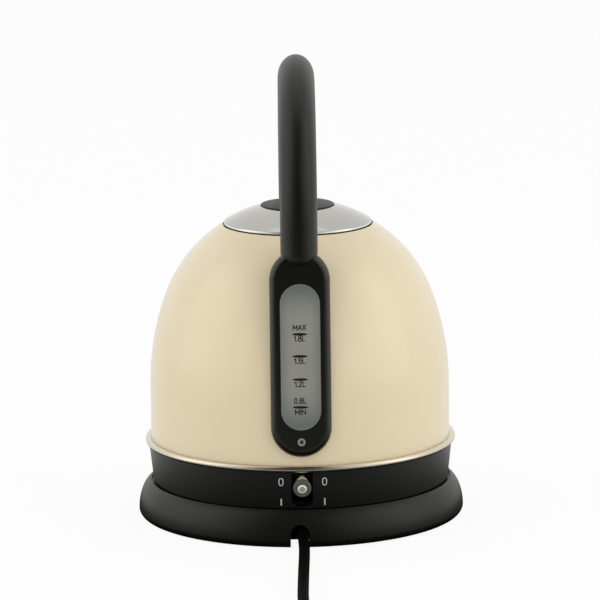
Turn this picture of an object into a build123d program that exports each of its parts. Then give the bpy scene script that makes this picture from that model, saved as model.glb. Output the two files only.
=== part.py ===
from build123d import *
import math
import os

# A cordless dome kettle standing on its round power base.
# Millimetres, +Z up. The origin is on the table under the centre of the base.
# The side with the water gauge, the switch and the cord faces -Y, and the spout faces +Y.

# Clearances
FIT = 0.05               # between pieces that are seated or fixed together
SLIDE_GAP = 0.3          # between pieces that lift apart
BORE_GAP = 0.06          # between a pin and what turns on it

# Power base
BASE_FLARE = 7.9         # how far the skirt stands out past the body
BASE_H = 20.8            # height of the seat that the kettle stands on
BASE_WALL = 2.2
SKIRT_Z = 0.6
SKIRT_WIDE_Z = 4.7
SKIRT_EDGE = 3.3         # how far the lower edge is rounded in
SKIRT_LAND = 1.0         # flat under the lower edge
FLARE_TOP_Z = 16.5       # where the side starts to round over to the lip
FLARE_IN = 2.5           # how far the side has come in there
SEAT_MARGIN = 1.2        # between the skirt's lower edge and the lip round the seat
LIP_W = 0.6
LIP_H = 1.2              # above the seat
PLATE_Z = 1.6
PLATE_T = 2.0
FOOT_R = 6.0
FOOT_CIRCLE_R = 76.0
FOOT_COUNT = 4
NOTCH_W = 10.8
NOTCH_H = 14.2
NOTCH_DEPTH = 18.5
NOTCH_X = -1.6           # the notch is off to one side of the cord
BASE_SCREW_CIRCLE_R = 66.0
BASE_SCREW_COUNT = 3
BASE_BOSS_R = 4.2

# Round connector between base and kettle
SOCKET_R = 18.5
SOCKET_RISE = 12.0       # above the top of the base
SOCKET_FLANGE_R = 24.0
SOCKET_FLANGE_T = 3.0
GROOVE_IN_R = 8.0
GROOVE_OUT_R = 12.5
GROOVE_DEPTH = 11.4
CONTACT_T = 0.4
CONTACT_H = 6.0
CONTACT_LIFT = 1.0
EARTH_BORE_R = 3.3
COUPLER_GAP = 0.6
COUPLER_LIFT = 1.4
CONTROL_GAP = 1.0

# Kettle skirt, trim ring and dome
LIFT_GAP = 1.5           # dark line between the base and the skirt
SKIRT_H = 21.8
SKIRT_LOW_INSET = 1.0    # the skirt's lower edge is inside the body radius
SKIRT_TOP_FLARE = 1.4
SKIRT_WALL = 2.4
REST_RING_R = 73.0
REST_RING_W = 3.0
SOCKET_WELL_R = 23.5
RING_H = 3.8
RING_FLARE = 3.4
RING_LAND = 1.4
BODY_R = 88.6
BODY_WALL = 0.8
WALL_H = 31.4            # straight wall above the trim ring
SHOULDER_R = 152.7
SHOULDER_TURN = 20.7
CROWN_R = 82.4
MOUTH_R = 44.4

# Kettle floor and heater
SPIGOT_H = 3.0
SPIGOT_W = 2.0
SEAL_H = 2.0
FLOOR_T = 0.9
DIFFUSER_R = 70.0
DIFFUSER_T = 3.0
ELEMENT_R = 38.0
ELEMENT_TUBE_R = 3.6
ELEMENT_SWEEP = 300.0
COLD_PIN_R = 1.6
COLD_PIN_LEN = 8.0
CONTROL_R = 27.0
CONTROL_T = 6.0
CONTROL_POST_R = 4.0
CONTROL_POST_X = 22.0
BIMETAL_R = 8.0
BIMETAL_T = 0.5
BIMETAL_Y = 14.0
BIMETAL_POST_R = 2.0
BIMETAL_GAP = 0.2
HOUSING_SCREW_CIRCLE_R = 60.0
HOUSING_SCREW_COUNT = 4
HOUSING_POST_R = 4.0
STEAM_X = 18.0
STEAM_Y = -48.0
STEAM_R = 4.0
STEAM_BORE_R = 3.0
STEAM_DROP = 16.0        # top of the tube below the mouth
STEAM_TAIL = 10.0        # tube below the diffuser
BUSH_R = 6.5
BUSH_FLANGE_R = 8.5
BUSH_FLANGE_T = 1.5

# Fasteners
SCREW_R = 1.5
SCREW_HEAD_R = 2.8
SCREW_HEAD_T = 2.0
SCREW_BITE = 9.0         # thread length in what it holds
SMALL_SCREW_R = 1.2
SMALL_HEAD_R = 2.3
SMALL_HEAD_T = 1.8

# Lid and knob
LID_EDGE_GAP = 0.8       # between the mouth and the lid's rim
LID_T = 0.7
LID_RIM_H = 1.8
LID_ROUND = 1.4
LID_SAG = 11.9
LID_DISH_R = 21.6
LID_DISH_DROP = 1.6
LID_DISH_SLOPE = 0.3
SEAT_WALL = 0.75
SEAT_DEPTH = 6.8
SEAT_LEDGE = 4.2
LINER_GAP = 1.0          # from the seat wall to the liner
LINER_WALL = 1.2
LINER_FLANGE_T = 0.5     # dark edge under the lid's rim
LID_SEAL_H = 2.5
LID_SEAL_LIFT = 1.8
KNOB_R = 21.5
KNOB_EDGE = 0.9
KNOB_CROWN = 1.2
KNOB_SINK = 0.2          # the knob's rim lies this far into the dish
KNOB_STEM_R = 10.0
KNOB_SCREW_R = 2.0
KNOB_SCREW_HEAD_R = 3.6

# Spout and strainer
SPOUT_TILT = 52.0
SPOUT_MOUTH_R = 12.5
SPOUT_TAPER = 0.268      # growth in radius per millimetre down the axis
SPOUT_LEN = 40.0
SPOUT_TOP = 8.0          # axis length above the mouth, before the level cut
SPOUT_INSET = 7.6        # mouth centre inside the body radius
SPOUT_BELOW_MOUTH = 24.0
SPOUT_WALL = 0.9
SPOUT_LEDGE = 2.5
SPOUT_HOLE_DROP = 3.0
STRAINER_STATION = 28.0
STRAINER_T = 0.8
STRAINER_HOLE_R = 1.7
STRAINER_RING_RS = (6.0, 11.5)
STRAINER_RING_COUNTS = (6, 12)

# Water gauge panel
PANEL_W = 35.0
PANEL_GAP = 6.4          # above the trim ring
PANEL_TOP_RISE = 0.4     # above the dome's mouth
PANEL_CLEAR = 0.2        # between the window's back and the dome
PANEL_TILT = 2.5
PANEL_FALL = 12.0        # degrees that the panel's sides fall towards the dome
PANEL_WALL = 2.4
PANEL_EDGE_R = 4.5
PANEL_BACK = 24.0        # depth of the free block behind the face
WINDOW_W = 23.2
WINDOW_LOW = 15.4        # above the panel's lower end
WINDOW_HIGH = 20.1       # below the panel's upper end
WINDOW_SINK = 0.6
WINDOW_FLANGE = 2.0
WINDOW_BACK = 4.1
CHANNEL_W = 15.0
CHANNEL_T = 1.2
CHANNEL_MARGIN = 4.0
NOZZLE_R = 4.0
NOZZLE_BORE_R = 2.5
NOZZLE_LOW = 7.0         # above the window's lower end
NOZZLE_REACH = 3.5       # inside the dome wall
SEAL_RIM = 2.4
SEAL_LIP = 0.9
PANEL_SCREW_UP = 8.4
PANEL_SCREW_R = 1.8
PANEL_HEAD_R = 2.4
PANEL_HEAD_T = 2.0
PANEL_HEAD_SINK = 0.8
PANEL_BOSS_R = 4.4

# Handle
HANDLE_W = 21.5
HANDLE_D = 27.0
HANDLE_WALL = 2.6
HANDLE_REACH = 57.4      # span of the arch past the body radius
HANDLE_RISE = 14.8       # top of the handle above the knob, past the arch's radius
NOSE_DROP = 10.3         # lower end below the panel's top
NOSE_ROUND = 7.0
FREE_LEG = 13.0          # straight leg at the free end
FREE_ROUND = 3.5
SEAM = 0.15
STRAP_W = 12.0
STRAP_T = 3.0
STRAP_CLEAR = 1.15       # between the strap's lower end and the dome
STRAP_TAIL = 27.3        # strap below the handle's lower end
STRAP_FREE_GAP = 2.0
POST_R = 4.0
POST_UPS = (5.5, 16.5)   # above the strap's lower end
STRAP_HEAD_R = 3.5
GRIP_SCREW_ANGLES = (32.0, 90.0, 148.0)
GRIP_BOSS_IN = 6.0
GRIP_BOSS_R = 3.2
GRIP_HEAD_X = 5.4
GRIP_TIP_X = 6.0

# Switch
SLOT_W = 12.3
SLOT_SILL = 1.1          # above the skirt's lower edge
SLOT_ROUND = 4.5
PIVOT_INSET = 17.6       # inside the body radius
PIVOT_DROP = 4.1         # below the skirt's top
LEVER_DROP = 11.0        # degrees below level at rest
LEVER_LEN = 24.0
LEVER_TIP_R = 5.25
LEVER_NECK_R = 2.2
LEVER_NECK = 3.0         # start of the cone from the pivot
LEVER_LAND = 2.0         # straight end of the cone
LEVER_ROUND = 0.8
HUB_R = 3.2
HUB_W = 9.0
CORE_R = 2.6
CORE_LEN = 10.0
CORE_PROUD = 0.5
SHUTTER_R = 13.7
SHUTTER_T = 1.2
SHUTTER_W = 11.6
SHUTTER_UP = 7.0
SHUTTER_DOWN = 4.8
PIN_R = 1.25
BRACKET_T = 1.5
EAR_GAP = 0.6
EAR_FRONT = 6.0
EAR_BACK = 5.0
EAR_TOP = 2.6
LAMP_R = 2.2
LAMP_LEN = 9.0
LAMP_GAP = 1.0
ROCKER_BACK = 21.0       # rocker pivot behind the toggle pivot
ROCKER_UP = 5.0          # rocker pivot above the bracket plate
ROCKER_LEN = 14.0
ROCKER_W = 6.0
ROCKER_T = 2.4
ROCKER_HUB_R = 2.6
ROCKER_PIN_R = 1.0
ROCKER_EAR_L = 7.0

# Mains cord, its coil and its plug
CORD_D = 6.4
CORD_EXIT_Y = -84.0
CORD_EXIT_Z = 8.8
GROMMET_LEN = 28.0
GROMMET_R = 5.0
CLAMP_W = 24.0
CLAMP_L = 7.0
CLAMP_TOP = 15.0
CLAMP_BACK = 10.0
CLAMP_SCREW_X = 9.0
COIL_X = 40.0
COIL_Y = -322.0
COIL_LIFT = 1.3          # room under the coil for the tie
COIL_OUT_R = 36.5
COIL_GAP = 0.6           # between neighbouring turns
TIE_T = 1.0
TIE_W = 5.0
PLUG_R = 18.5
PLUG_H = 21.0
PLUG_ROUND = 3.0
PLUG_ARM = 25.0
PLUG_ARM_R = 6.5
PLUG_PIN_R = 2.4
PLUG_PIN_LEN = 19.0
PLUG_PIN_X = 9.5
CLIP_W = 6.0
CLIP_T = 0.8
CLIP_H = 14.0

# Heights worked out from the sizes above
BASE_R = BODY_R + BASE_FLARE
SEAT_R = BODY_R - SKIRT_LOW_INSET + SEAT_MARGIN
SKIRT_LOW_Z = BASE_H + LIFT_GAP
SKIRT_TOP_Z = SKIRT_LOW_Z + SKIRT_H
SKIRT_FLOOR_Z = SKIRT_LOW_Z + SKIRT_WALL
RING_TOP_Z = SKIRT_TOP_Z + RING_H
SPIGOT_TOP_Z = SKIRT_TOP_Z + SPIGOT_H
FLOOR_LOW_Z = SPIGOT_TOP_Z + SEAL_H
FLOOR_TOP_Z = FLOOR_LOW_Z + FLOOR_T
DIFFUSER_LOW_Z = FLOOR_LOW_Z - DIFFUSER_T
SOCKET_TOP_Z = BASE_H + SOCKET_RISE
GROOVE_FLOOR_Z = SOCKET_TOP_Z - GROOVE_DEPTH
CONTROL_LOW_Z = SOCKET_TOP_Z + CONTROL_GAP
CONTROL_TOP_Z = CONTROL_LOW_Z + CONTROL_T
PLATE_TOP_Z = PLATE_Z + PLATE_T

# Centres of the dome's two arcs, in radius and height
WALL_TOP_Z = RING_TOP_Z + WALL_H
SHOULDER_C = (BODY_R - SHOULDER_R, WALL_TOP_Z)
TURN_COS = math.cos(math.radians(SHOULDER_TURN))
TURN_SIN = math.sin(math.radians(SHOULDER_TURN))
SHOULDER_TOP_Z = WALL_TOP_Z + SHOULDER_R * TURN_SIN
CROWN_C = (
    SHOULDER_C[0] + (SHOULDER_R - CROWN_R) * TURN_COS,
    SHOULDER_C[1] + (SHOULDER_R - CROWN_R) * TURN_SIN,
)

MIN_UP = (Align.CENTER, Align.CENTER, Align.MIN)
parts = {}


def dome_radius(z, grow=0.0):
    """Outer radius of the dome at a height, with its skin moved out by grow."""
    if z <= WALL_TOP_Z:
        return BODY_R + grow
    if z <= SHOULDER_TOP_Z + grow * TURN_SIN:
        return SHOULDER_C[0] + math.sqrt((SHOULDER_R + grow) ** 2 - (z - SHOULDER_C[1]) ** 2)
    return CROWN_C[0] + math.sqrt((CROWN_R + grow) ** 2 - (z - CROWN_C[1]) ** 2)


def dome_height(r, grow=0.0):
    """Height of the dome's crown at a radius inside its shoulder."""
    return CROWN_C[1] + math.sqrt((CROWN_R + grow) ** 2 - (r - CROWN_C[0]) ** 2)


def rz(r, z):
    """A point of an outline, from its radius and height."""
    return (r, 0, z)


def around(centre, radius, degrees):
    """A point on an arc of an outline."""
    angle = math.radians(degrees)
    return rz(centre[0] + radius * math.cos(angle), centre[1] + radius * math.sin(angle))


def turned(edges):
    """A solid turned about the upright axis from the edges of a closed outline."""
    return revolve(make_face(edges), axis=Axis.Z)


def turned_polygon(points):
    """A solid turned about the upright axis from a closed outline of straight lines."""
    return turned(Polyline(*[rz(r, z) for r, z in points], close=True))


def disc(radius, low, high, x=0.0, y=0.0):
    """An upright cylinder between two heights."""
    return Pos(x, y, low) * Cylinder(radius, high - low, align=MIN_UP)


def tube(outer, inner, low, high, x=0.0, y=0.0):
    """An upright tube between two heights."""
    return disc(outer, low, high, x, y) - disc(inner, low, high, x, y)


def rod(radius, start, end):
    """A round bar from one point to another."""
    axis = Vector(*end) - Vector(*start)
    return Plane(origin=start, z_dir=axis) * Cylinder(radius, axis.length, align=MIN_UP)


def slab(x0, x1, y0, y1, z0, z1):
    """A box between two corners."""
    return Pos(x0, y0, z0) * Box(x1 - x0, y1 - y0, z1 - z0, align=(Align.MIN, Align.MIN, Align.MIN))


def ring_points(radius, count, first=0.0):
    """Places evenly spaced round a circle."""
    angles = [math.radians(first + 360.0 * i / count) for i in range(count)]
    return [(radius * math.cos(a), radius * math.sin(a)) for a in angles]


def joined(solids):
    """Several separate solids kept together as one piece."""
    return Compound(children=list(solids))


def keep(name, shape):
    """Keep a finished piece under the name it is written with."""
    parts[name] = shape
    return shape


def dome_solid(grow=0.0):
    """The filled dome from the trim ring's foot to its mouth, with its skin moved out by grow."""
    crown_turn = math.degrees(math.acos((MOUTH_R - CROWN_C[0]) / (CROWN_R + grow)))
    half_turn = SHOULDER_TURN / 2
    mid_turn = (SHOULDER_TURN + crown_turn) / 2
    shoulder_top = around(SHOULDER_C, SHOULDER_R + grow, SHOULDER_TURN)
    mouth = around(CROWN_C, CROWN_R + grow, crown_turn)
    return turned(
        [
            Line(rz(0, SKIRT_TOP_Z), rz(BODY_R + grow, SKIRT_TOP_Z)),
            Line(rz(BODY_R + grow, SKIRT_TOP_Z), rz(BODY_R + grow, WALL_TOP_Z)),
            ThreePointArc(
                rz(BODY_R + grow, WALL_TOP_Z),
                around(SHOULDER_C, SHOULDER_R + grow, half_turn),
                shoulder_top,
            ),
            ThreePointArc(shoulder_top, around(CROWN_C, CROWN_R + grow, mid_turn), mouth),
            Line(mouth, rz(0, mouth[2])),
            Line(rz(0, mouth[2]), rz(0, SKIRT_TOP_Z)),
        ]
    )


# Base cover: a flared shell with a lip round its seat, a hole for the socket and a notch for the cord
flare_h = FLARE_TOP_Z - SKIRT_WIDE_Z
FLARE_ARC_R = (FLARE_IN**2 + flare_h**2) / (2 * FLARE_IN)
FLARE_C = (BASE_R - FLARE_ARC_R, SKIRT_WIDE_Z)
flare_turn = math.degrees(math.asin(flare_h / FLARE_ARC_R))
flare_top = around(FLARE_C, FLARE_ARC_R, flare_turn)
flare_rise = (-math.sin(math.radians(flare_turn)), 0, math.cos(math.radians(flare_turn)))
lip_z = BASE_H + LIP_H
inner_arc_r = FLARE_ARC_R - BASE_WALL
seat_under_z = BASE_H - BASE_WALL
inner_turn = math.degrees(math.asin((seat_under_z - SKIRT_WIDE_Z) / inner_arc_r))
SOCKET_HOLE_R = SOCKET_R + FIT
lip_edge = rz(SEAT_R + LIP_W, lip_z)
skirt_wide = rz(BASE_R, SKIRT_WIDE_Z)
skirt_foot = rz(BASE_R - SKIRT_EDGE, SKIRT_Z)
inner_wide = rz(BASE_R - BASE_WALL, SKIRT_WIDE_Z)
inner_foot_r = BASE_R - SKIRT_EDGE - SKIRT_LAND
inner_foot = rz(inner_foot_r, SKIRT_Z)
inner_top = around(FLARE_C, inner_arc_r, inner_turn)
base_cover = turned(
    [
        TangentArc(skirt_wide, skirt_foot, tangent=(0, 0, -1)),
        Line(skirt_foot, inner_foot),
        Line(inner_foot, inner_wide),
        ThreePointArc(inner_wide, around(FLARE_C, inner_arc_r, inner_turn / 2), inner_top),
        Line(inner_top, rz(SOCKET_HOLE_R, seat_under_z)),
        Line(rz(SOCKET_HOLE_R, seat_under_z), rz(SOCKET_HOLE_R, BASE_H)),
        Line(rz(SOCKET_HOLE_R, BASE_H), rz(SEAT_R, BASE_H)),
        Line(rz(SEAT_R, BASE_H), rz(SEAT_R, lip_z)),
        Line(rz(SEAT_R, lip_z), lip_edge),
        TangentArc(flare_top, lip_edge, tangent=flare_rise),
        ThreePointArc(flare_top, around(FLARE_C, FLARE_ARC_R, flare_turn / 2), skirt_wide),
    ]
)
base_screw_places = ring_points(BASE_SCREW_CIRCLE_R, BASE_SCREW_COUNT, 90.0)
for x, y in base_screw_places:
    base_cover += disc(BASE_BOSS_R, PLATE_TOP_Z, seat_under_z, x, y)
    base_cover -= disc(SCREW_R + FIT, PLATE_Z, PLATE_TOP_Z + SCREW_BITE, x, y)
notch_spring_z = NOTCH_H - NOTCH_W / 2
notch_back_y = -BASE_R + NOTCH_DEPTH
notch_front_y = -BASE_R - NOTCH_DEPTH
notch = slab(-NOTCH_W / 2, NOTCH_W / 2, notch_front_y, notch_back_y, -BASE_H, notch_spring_z)
notch += rod(NOTCH_W / 2, (0, notch_front_y, notch_spring_z), (0, notch_back_y, notch_spring_z))
notch = Pos(NOTCH_X, 0, 0) * notch
keep("base_cover", base_cover - notch)

# Base plate, its rubber feet and its screws
base_plate = disc(inner_foot_r - SLIDE_GAP, PLATE_Z, PLATE_TOP_Z) - notch
for x, y in base_screw_places:
    base_plate -= disc(SCREW_R + FIT, PLATE_Z, PLATE_TOP_Z, x, y)
    base_plate -= disc(SCREW_HEAD_R + FIT, PLATE_Z, PLATE_Z + PLATE_T / 2, x, y)
keep("base_plate", base_plate)
foot_places = ring_points(FOOT_CIRCLE_R, FOOT_COUNT, 45.0)
keep("base_feet", joined(disc(FOOT_R, 0, PLATE_Z, x, y) for x, y in foot_places))
keep(
    "base_screws",
    joined(
        disc(SCREW_HEAD_R, PLATE_Z, PLATE_Z + PLATE_T / 2, x, y)
        + disc(SCREW_R, PLATE_Z, PLATE_TOP_Z + SCREW_BITE - FIT, x, y)
        for x, y in base_screw_places
    ),
)

# Round socket with its ring contacts and its centre earth clip
socket_flange_low = seat_under_z - SOCKET_FLANGE_T
base_socket = disc(SOCKET_R, PLATE_TOP_Z, SOCKET_TOP_Z)
base_socket += disc(SOCKET_FLANGE_R, socket_flange_low, seat_under_z)
base_socket -= tube(GROOVE_OUT_R, GROOVE_IN_R, GROOVE_FLOOR_Z, SOCKET_TOP_Z)
base_socket -= disc(EARTH_BORE_R, GROOVE_FLOOR_Z, SOCKET_TOP_Z)
keep("base_socket", base_socket)
contact_low = GROOVE_FLOOR_Z + CONTACT_LIFT
contact_high = contact_low + CONTACT_H
keep(
    "socket_contacts",
    joined(
        [
            tube(GROOVE_OUT_R, GROOVE_OUT_R - CONTACT_T, contact_low, contact_high),
            tube(GROOVE_IN_R + CONTACT_T, GROOVE_IN_R, contact_low, contact_high),
        ]
    ),
)
keep("earth_clip", tube(EARTH_BORE_R, EARTH_BORE_R - CONTACT_T, GROOVE_FLOOR_Z, contact_high))

# Strain relief inside the base, and the clamp that holds it to the base plate
grommet_back_y = CORD_EXIT_Y + GROMMET_LEN
grommet_axis = Plane(origin=(0, grommet_back_y, CORD_EXIT_Z), z_dir=(0, -1, 0))
cord_grommet = grommet_axis * Cone(GROMMET_R, CORD_D / 2, GROMMET_LEN, align=MIN_UP)
keep("cord_grommet", cord_grommet)
clamp_y = grommet_back_y - CLAMP_BACK
cord_clamp = slab(-CLAMP_W / 2, CLAMP_W / 2, clamp_y, clamp_y + CLAMP_L, PLATE_TOP_Z, CLAMP_TOP)
cord_clamp -= cord_grommet
clamp_screw_y = clamp_y + CLAMP_L / 2
clamp_screw_places = [(-CLAMP_SCREW_X, clamp_screw_y), (CLAMP_SCREW_X, clamp_screw_y)]
for x, y in clamp_screw_places:
    cord_clamp -= disc(SMALL_SCREW_R + FIT, PLATE_TOP_Z, CLAMP_TOP, x, y)
keep("cord_clamp", cord_clamp)
keep(
    "clamp_screws",
    joined(
        disc(SMALL_SCREW_R, PLATE_TOP_Z, CLAMP_TOP, x, y)
        + disc(SMALL_HEAD_R, CLAMP_TOP, CLAMP_TOP + SMALL_HEAD_T, x, y)
        for x, y in clamp_screw_places
    ),
)

# Mains cord: a free run out of the notch, down to the table and on to the coil
CORD_R = CORD_D / 2
coil_z = CORD_R + COIL_LIFT
coil_step = (CORD_D + COIL_GAP) / 2
coil_start = (COIL_X - COIL_OUT_R, COIL_Y, coil_z)
cord_route = [
    (0.0, CORD_EXIT_Y, CORD_EXIT_Z),
    (0.0, -98.0, CORD_EXIT_Z),
    (1.0, -114.0, 6.4),
    (1.5, -133.0, 3.9),
    (1.2, -156.0, 3.3),
    (-0.2, -188.0, 3.3),
    (-0.5, -224.0, 3.4),
    (1.6, -258.0, 3.7),
    (coil_start[0], -288.0, coil_z),
    (coil_start[0], COIL_Y + CORD_D, coil_z),
]


def route_radii(points):
    """The largest arc that each corner's two runs leave room for."""
    vectors = [Vector(*b) - Vector(*a) for a, b in zip(points, points[1:])]
    radii = []
    for before, after in zip(vectors, vectors[1:]):
        half_turn = math.radians(before.get_angle(after)) / 2
        radii.append(0.45 * min(before.length, after.length) / math.tan(half_turn))
    return radii


def swept_cord(path):
    """A round cord along a path."""
    return sweep(Plane(origin=path @ 0, z_dir=path % 0) * Circle(CORD_R), path=path)


def print_volume(name, solid, path):
    """Compare a tube's volume with its section times its length."""
    print(name, "length", round(path.length, 1), "volume ratio",
          round(solid.volume / (math.pi * CORD_R**2 * path.length), 4))


cord_radii = route_radii(cord_route)
cord_path = FilletPolyline(*cord_route, radius=cord_radii)
mains_cord = keep("mains_cord", swept_cord(cord_path))
print("mains_cord radii", [round(r) for r in cord_radii])
print_volume("mains_cord", mains_cord, cord_path)

# Coil: half turns that spiral in, climb a layer at the smallest one, and spiral out on top
coil_radii = [COIL_OUT_R, COIL_OUT_R - coil_step, COIL_OUT_R - 2 * coil_step, COIL_OUT_R - coil_step]
COIL_CLIMB_INDEX = 2
coil_edges = [Line((coil_start[0], COIL_Y + CORD_D, coil_z), coil_start)]
x, z = coil_start[0], coil_z
for index, radius in enumerate(coil_radii):
    side = 1 if index % 2 == 0 else -1
    rise = CORD_D + COIL_GAP if index == COIL_CLIMB_INDEX else 0.0
    half_span = math.sqrt(radius**2 - (rise / 2) ** 2)
    end_x = x + side * 2 * half_span
    crest = ((x + end_x) / 2, COIL_Y - side * radius, z + rise / 2)
    coil_edges.append(ThreePointArc((x, COIL_Y, z), crest, (end_x, COIL_Y, z + rise)))
    x, z = end_x, z + rise
coil_end = (x, COIL_Y - CORD_D, z)
coil_edges.append(Line((x, COIL_Y, z), coil_end))
coil_path = Wire(coil_edges)
cord_coil = keep("cord_coil", swept_cord(coil_path))
print_volume("cord_coil", cord_coil, coil_path)


def least_self_gap(path, step, skip):
    """The least space between parts of a cord that are further apart along it than skip."""
    count = int(path.length / step)
    points = [path @ (i / count) for i in range(count + 1)]
    apart = int(skip / step)
    gaps = [
        (points[i] - points[j]).length
        for i in range(len(points))
        for j in range(i + apart, len(points))
    ]
    return min(gaps) - CORD_D


SELF_GAP_STEP = 2.0
SELF_GAP_SKIP = 60.0
print("cord_coil least gap", round(least_self_gap(coil_path, SELF_GAP_STEP, SELF_GAP_SKIP), 2))

# Tie round the two turns that lie one on the other at the side next to the kettle
tie_reach = coil_step + TIE_W / 2
tie_sag = coil_radii[1] - math.sqrt(coil_radii[1] ** 2 - tie_reach**2)
tie_y = COIL_Y + coil_radii[1] - tie_sag / 2
tie_half_y = CORD_R + tie_sag / 2 + SLIDE_GAP
tie_low_z = coil_z - CORD_R - SLIDE_GAP
tie_high_z = coil_z + CORD_D + COIL_GAP + CORD_R + SLIDE_GAP
tie_outer = slab(
    COIL_X - TIE_W / 2, COIL_X + TIE_W / 2, tie_y - tie_half_y - TIE_T, tie_y + tie_half_y + TIE_T,
    tie_low_z - TIE_T, tie_high_z + TIE_T,
)
tie_outer = fillet(tie_outer.edges().filter_by(Axis.X), CORD_R)
tie_hole = slab(
    COIL_X - TIE_W, COIL_X + TIE_W, tie_y - tie_half_y, tie_y + tie_half_y, tie_low_z, tie_high_z
)
tie_hole = fillet(tie_hole.edges().filter_by(Axis.X), CORD_R - 2 * TIE_T)
keep("cord_tie", tie_outer - tie_hole)

# Earthed plug lying on its back, with the cord going into its side
plug_y = coil_end[1] - PLUG_ARM - PLUG_R
plug_x = coil_end[0]
plug_body = disc(PLUG_R, 0, PLUG_H, plug_x, plug_y)
plug_body = fillet(plug_body.edges(), PLUG_ROUND)
arm_axis = Plane(origin=coil_end, z_dir=(0, -1, 0))
plug_body += arm_axis * Cone(CORD_R, PLUG_ARM_R, PLUG_ARM + PLUG_R / 2, align=MIN_UP)
pin_places = [(plug_x - PLUG_PIN_X, plug_y), (plug_x + PLUG_PIN_X, plug_y)]
for x, y in pin_places:
    plug_body -= disc(PLUG_PIN_R, PLUG_H / 2, PLUG_H, x, y)
clip_y = PLUG_R - CLIP_T
clip_low = PLUG_H - CLIP_H
clip_blank = slab(
    plug_x - CLIP_W / 2, plug_x + CLIP_W / 2, plug_y - PLUG_R, plug_y + PLUG_R, clip_low, PLUG_H
)
clip_blank -= slab(plug_x - CLIP_W, plug_x + CLIP_W, plug_y - clip_y, plug_y + clip_y, 0, PLUG_H)
clip_blank &= disc(PLUG_R, 0, PLUG_H - PLUG_ROUND, plug_x, plug_y)
clip_blank -= arm_axis * Cone(CORD_R, PLUG_ARM_R, PLUG_ARM + PLUG_R / 2, align=MIN_UP)
plug_body -= clip_blank
keep("plug_body", plug_body)
keep("plug_earth_clips", clip_blank)
keep(
    "plug_pins",
    joined(
        fillet(
            disc(PLUG_PIN_R, PLUG_H / 2, PLUG_H + PLUG_PIN_LEN, x, y).edges().sort_by(Axis.Z)[-1:],
            PLUG_PIN_R / 2,
        )
        for x, y in pin_places
    ),
)

# Kettle skirt: a moulded tub with a floor, a rest ring, screw posts and the switch slot
skirt_low_r = BODY_R - SKIRT_LOW_INSET
skirt_top_r = BODY_R + SKIRT_TOP_FLARE
spigot_r = BODY_R - BODY_WALL - FIT
spigot_in_r = spigot_r - SPIGOT_W
rest_low_z = BASE_H + SLIDE_GAP
lower_housing = turned_polygon(
    [
        (SOCKET_WELL_R, SKIRT_LOW_Z),
        (REST_RING_R, SKIRT_LOW_Z),
        (REST_RING_R, rest_low_z),
        (REST_RING_R + REST_RING_W, rest_low_z),
        (REST_RING_R + REST_RING_W, SKIRT_LOW_Z),
        (skirt_low_r, SKIRT_LOW_Z),
        (skirt_top_r, SKIRT_TOP_Z),
        (spigot_r, SKIRT_TOP_Z),
        (spigot_r, SPIGOT_TOP_Z),
        (spigot_in_r, SPIGOT_TOP_Z),
        (spigot_in_r, SKIRT_TOP_Z - SKIRT_WALL),
        (skirt_low_r - SKIRT_WALL, SKIRT_FLOOR_Z),
        (SOCKET_WELL_R, SKIRT_FLOOR_Z),
    ]
)
housing_screw_places = ring_points(HOUSING_SCREW_CIRCLE_R, HOUSING_SCREW_COUNT, 45.0)
housing_head_z = SKIRT_LOW_Z + SCREW_HEAD_T
housing_screw_top = FLOOR_LOW_Z - DIFFUSER_T / 3
for x, y in housing_screw_places:
    lower_housing += disc(HOUSING_POST_R, SKIRT_FLOOR_Z, DIFFUSER_LOW_Z, x, y)
    lower_housing -= disc(SCREW_R + FIT, SKIRT_LOW_Z, DIFFUSER_LOW_Z, x, y)
    lower_housing -= disc(SCREW_HEAD_R + FIT, SKIRT_LOW_Z, housing_head_z, x, y)
slot_low_z = SKIRT_LOW_Z + SLOT_SILL
slot = slab(
    -SLOT_W / 2, SLOT_W / 2, -BODY_R - BASE_FLARE, -spigot_in_r + SPIGOT_W * 2, slot_low_z, SPIGOT_TOP_Z
)
slot = fillet(slot.edges().filter_by(Axis.Y).sort_by(Axis.Z)[:2], SLOT_ROUND)
keep("lower_housing", lower_housing - slot)
keep(
    "housing_screws",
    joined(
        disc(SCREW_HEAD_R, SKIRT_LOW_Z, housing_head_z, x, y)
        + disc(SCREW_R, SKIRT_LOW_Z, housing_screw_top, x, y)
        for x, y in housing_screw_places
    ),
)

# Trim ring over the joint of dome and skirt
ring_in_r = BODY_R + FIT
ring_land_r = BODY_R + RING_LAND
keep(
    "trim_ring",
    turned(
        [
            Line(rz(ring_in_r, SKIRT_TOP_Z), rz(ring_land_r, SKIRT_TOP_Z)),
            ThreePointArc(
                rz(ring_land_r, SKIRT_TOP_Z),
                rz(BODY_R + RING_FLARE, SKIRT_TOP_Z + RING_H / 2),
                rz(ring_land_r, RING_TOP_Z),
            ),
            Line(rz(ring_land_r, RING_TOP_Z), rz(ring_in_r, RING_TOP_Z)),
            Line(rz(ring_in_r, RING_TOP_Z), rz(ring_in_r, SKIRT_TOP_Z)),
        ]
    ),
)

# Spout: a short cone on the front of the dome, cut level at its mouth
MOUTH_Z = dome_height(MOUTH_R)
tilt = math.radians(SPOUT_TILT)
spout_dir = Vector(0, math.cos(tilt), math.sin(tilt))
spout_z = MOUTH_Z - SPOUT_BELOW_MOUTH
spout_centre = Vector(0, BODY_R - SPOUT_INSET, spout_z)


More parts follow.
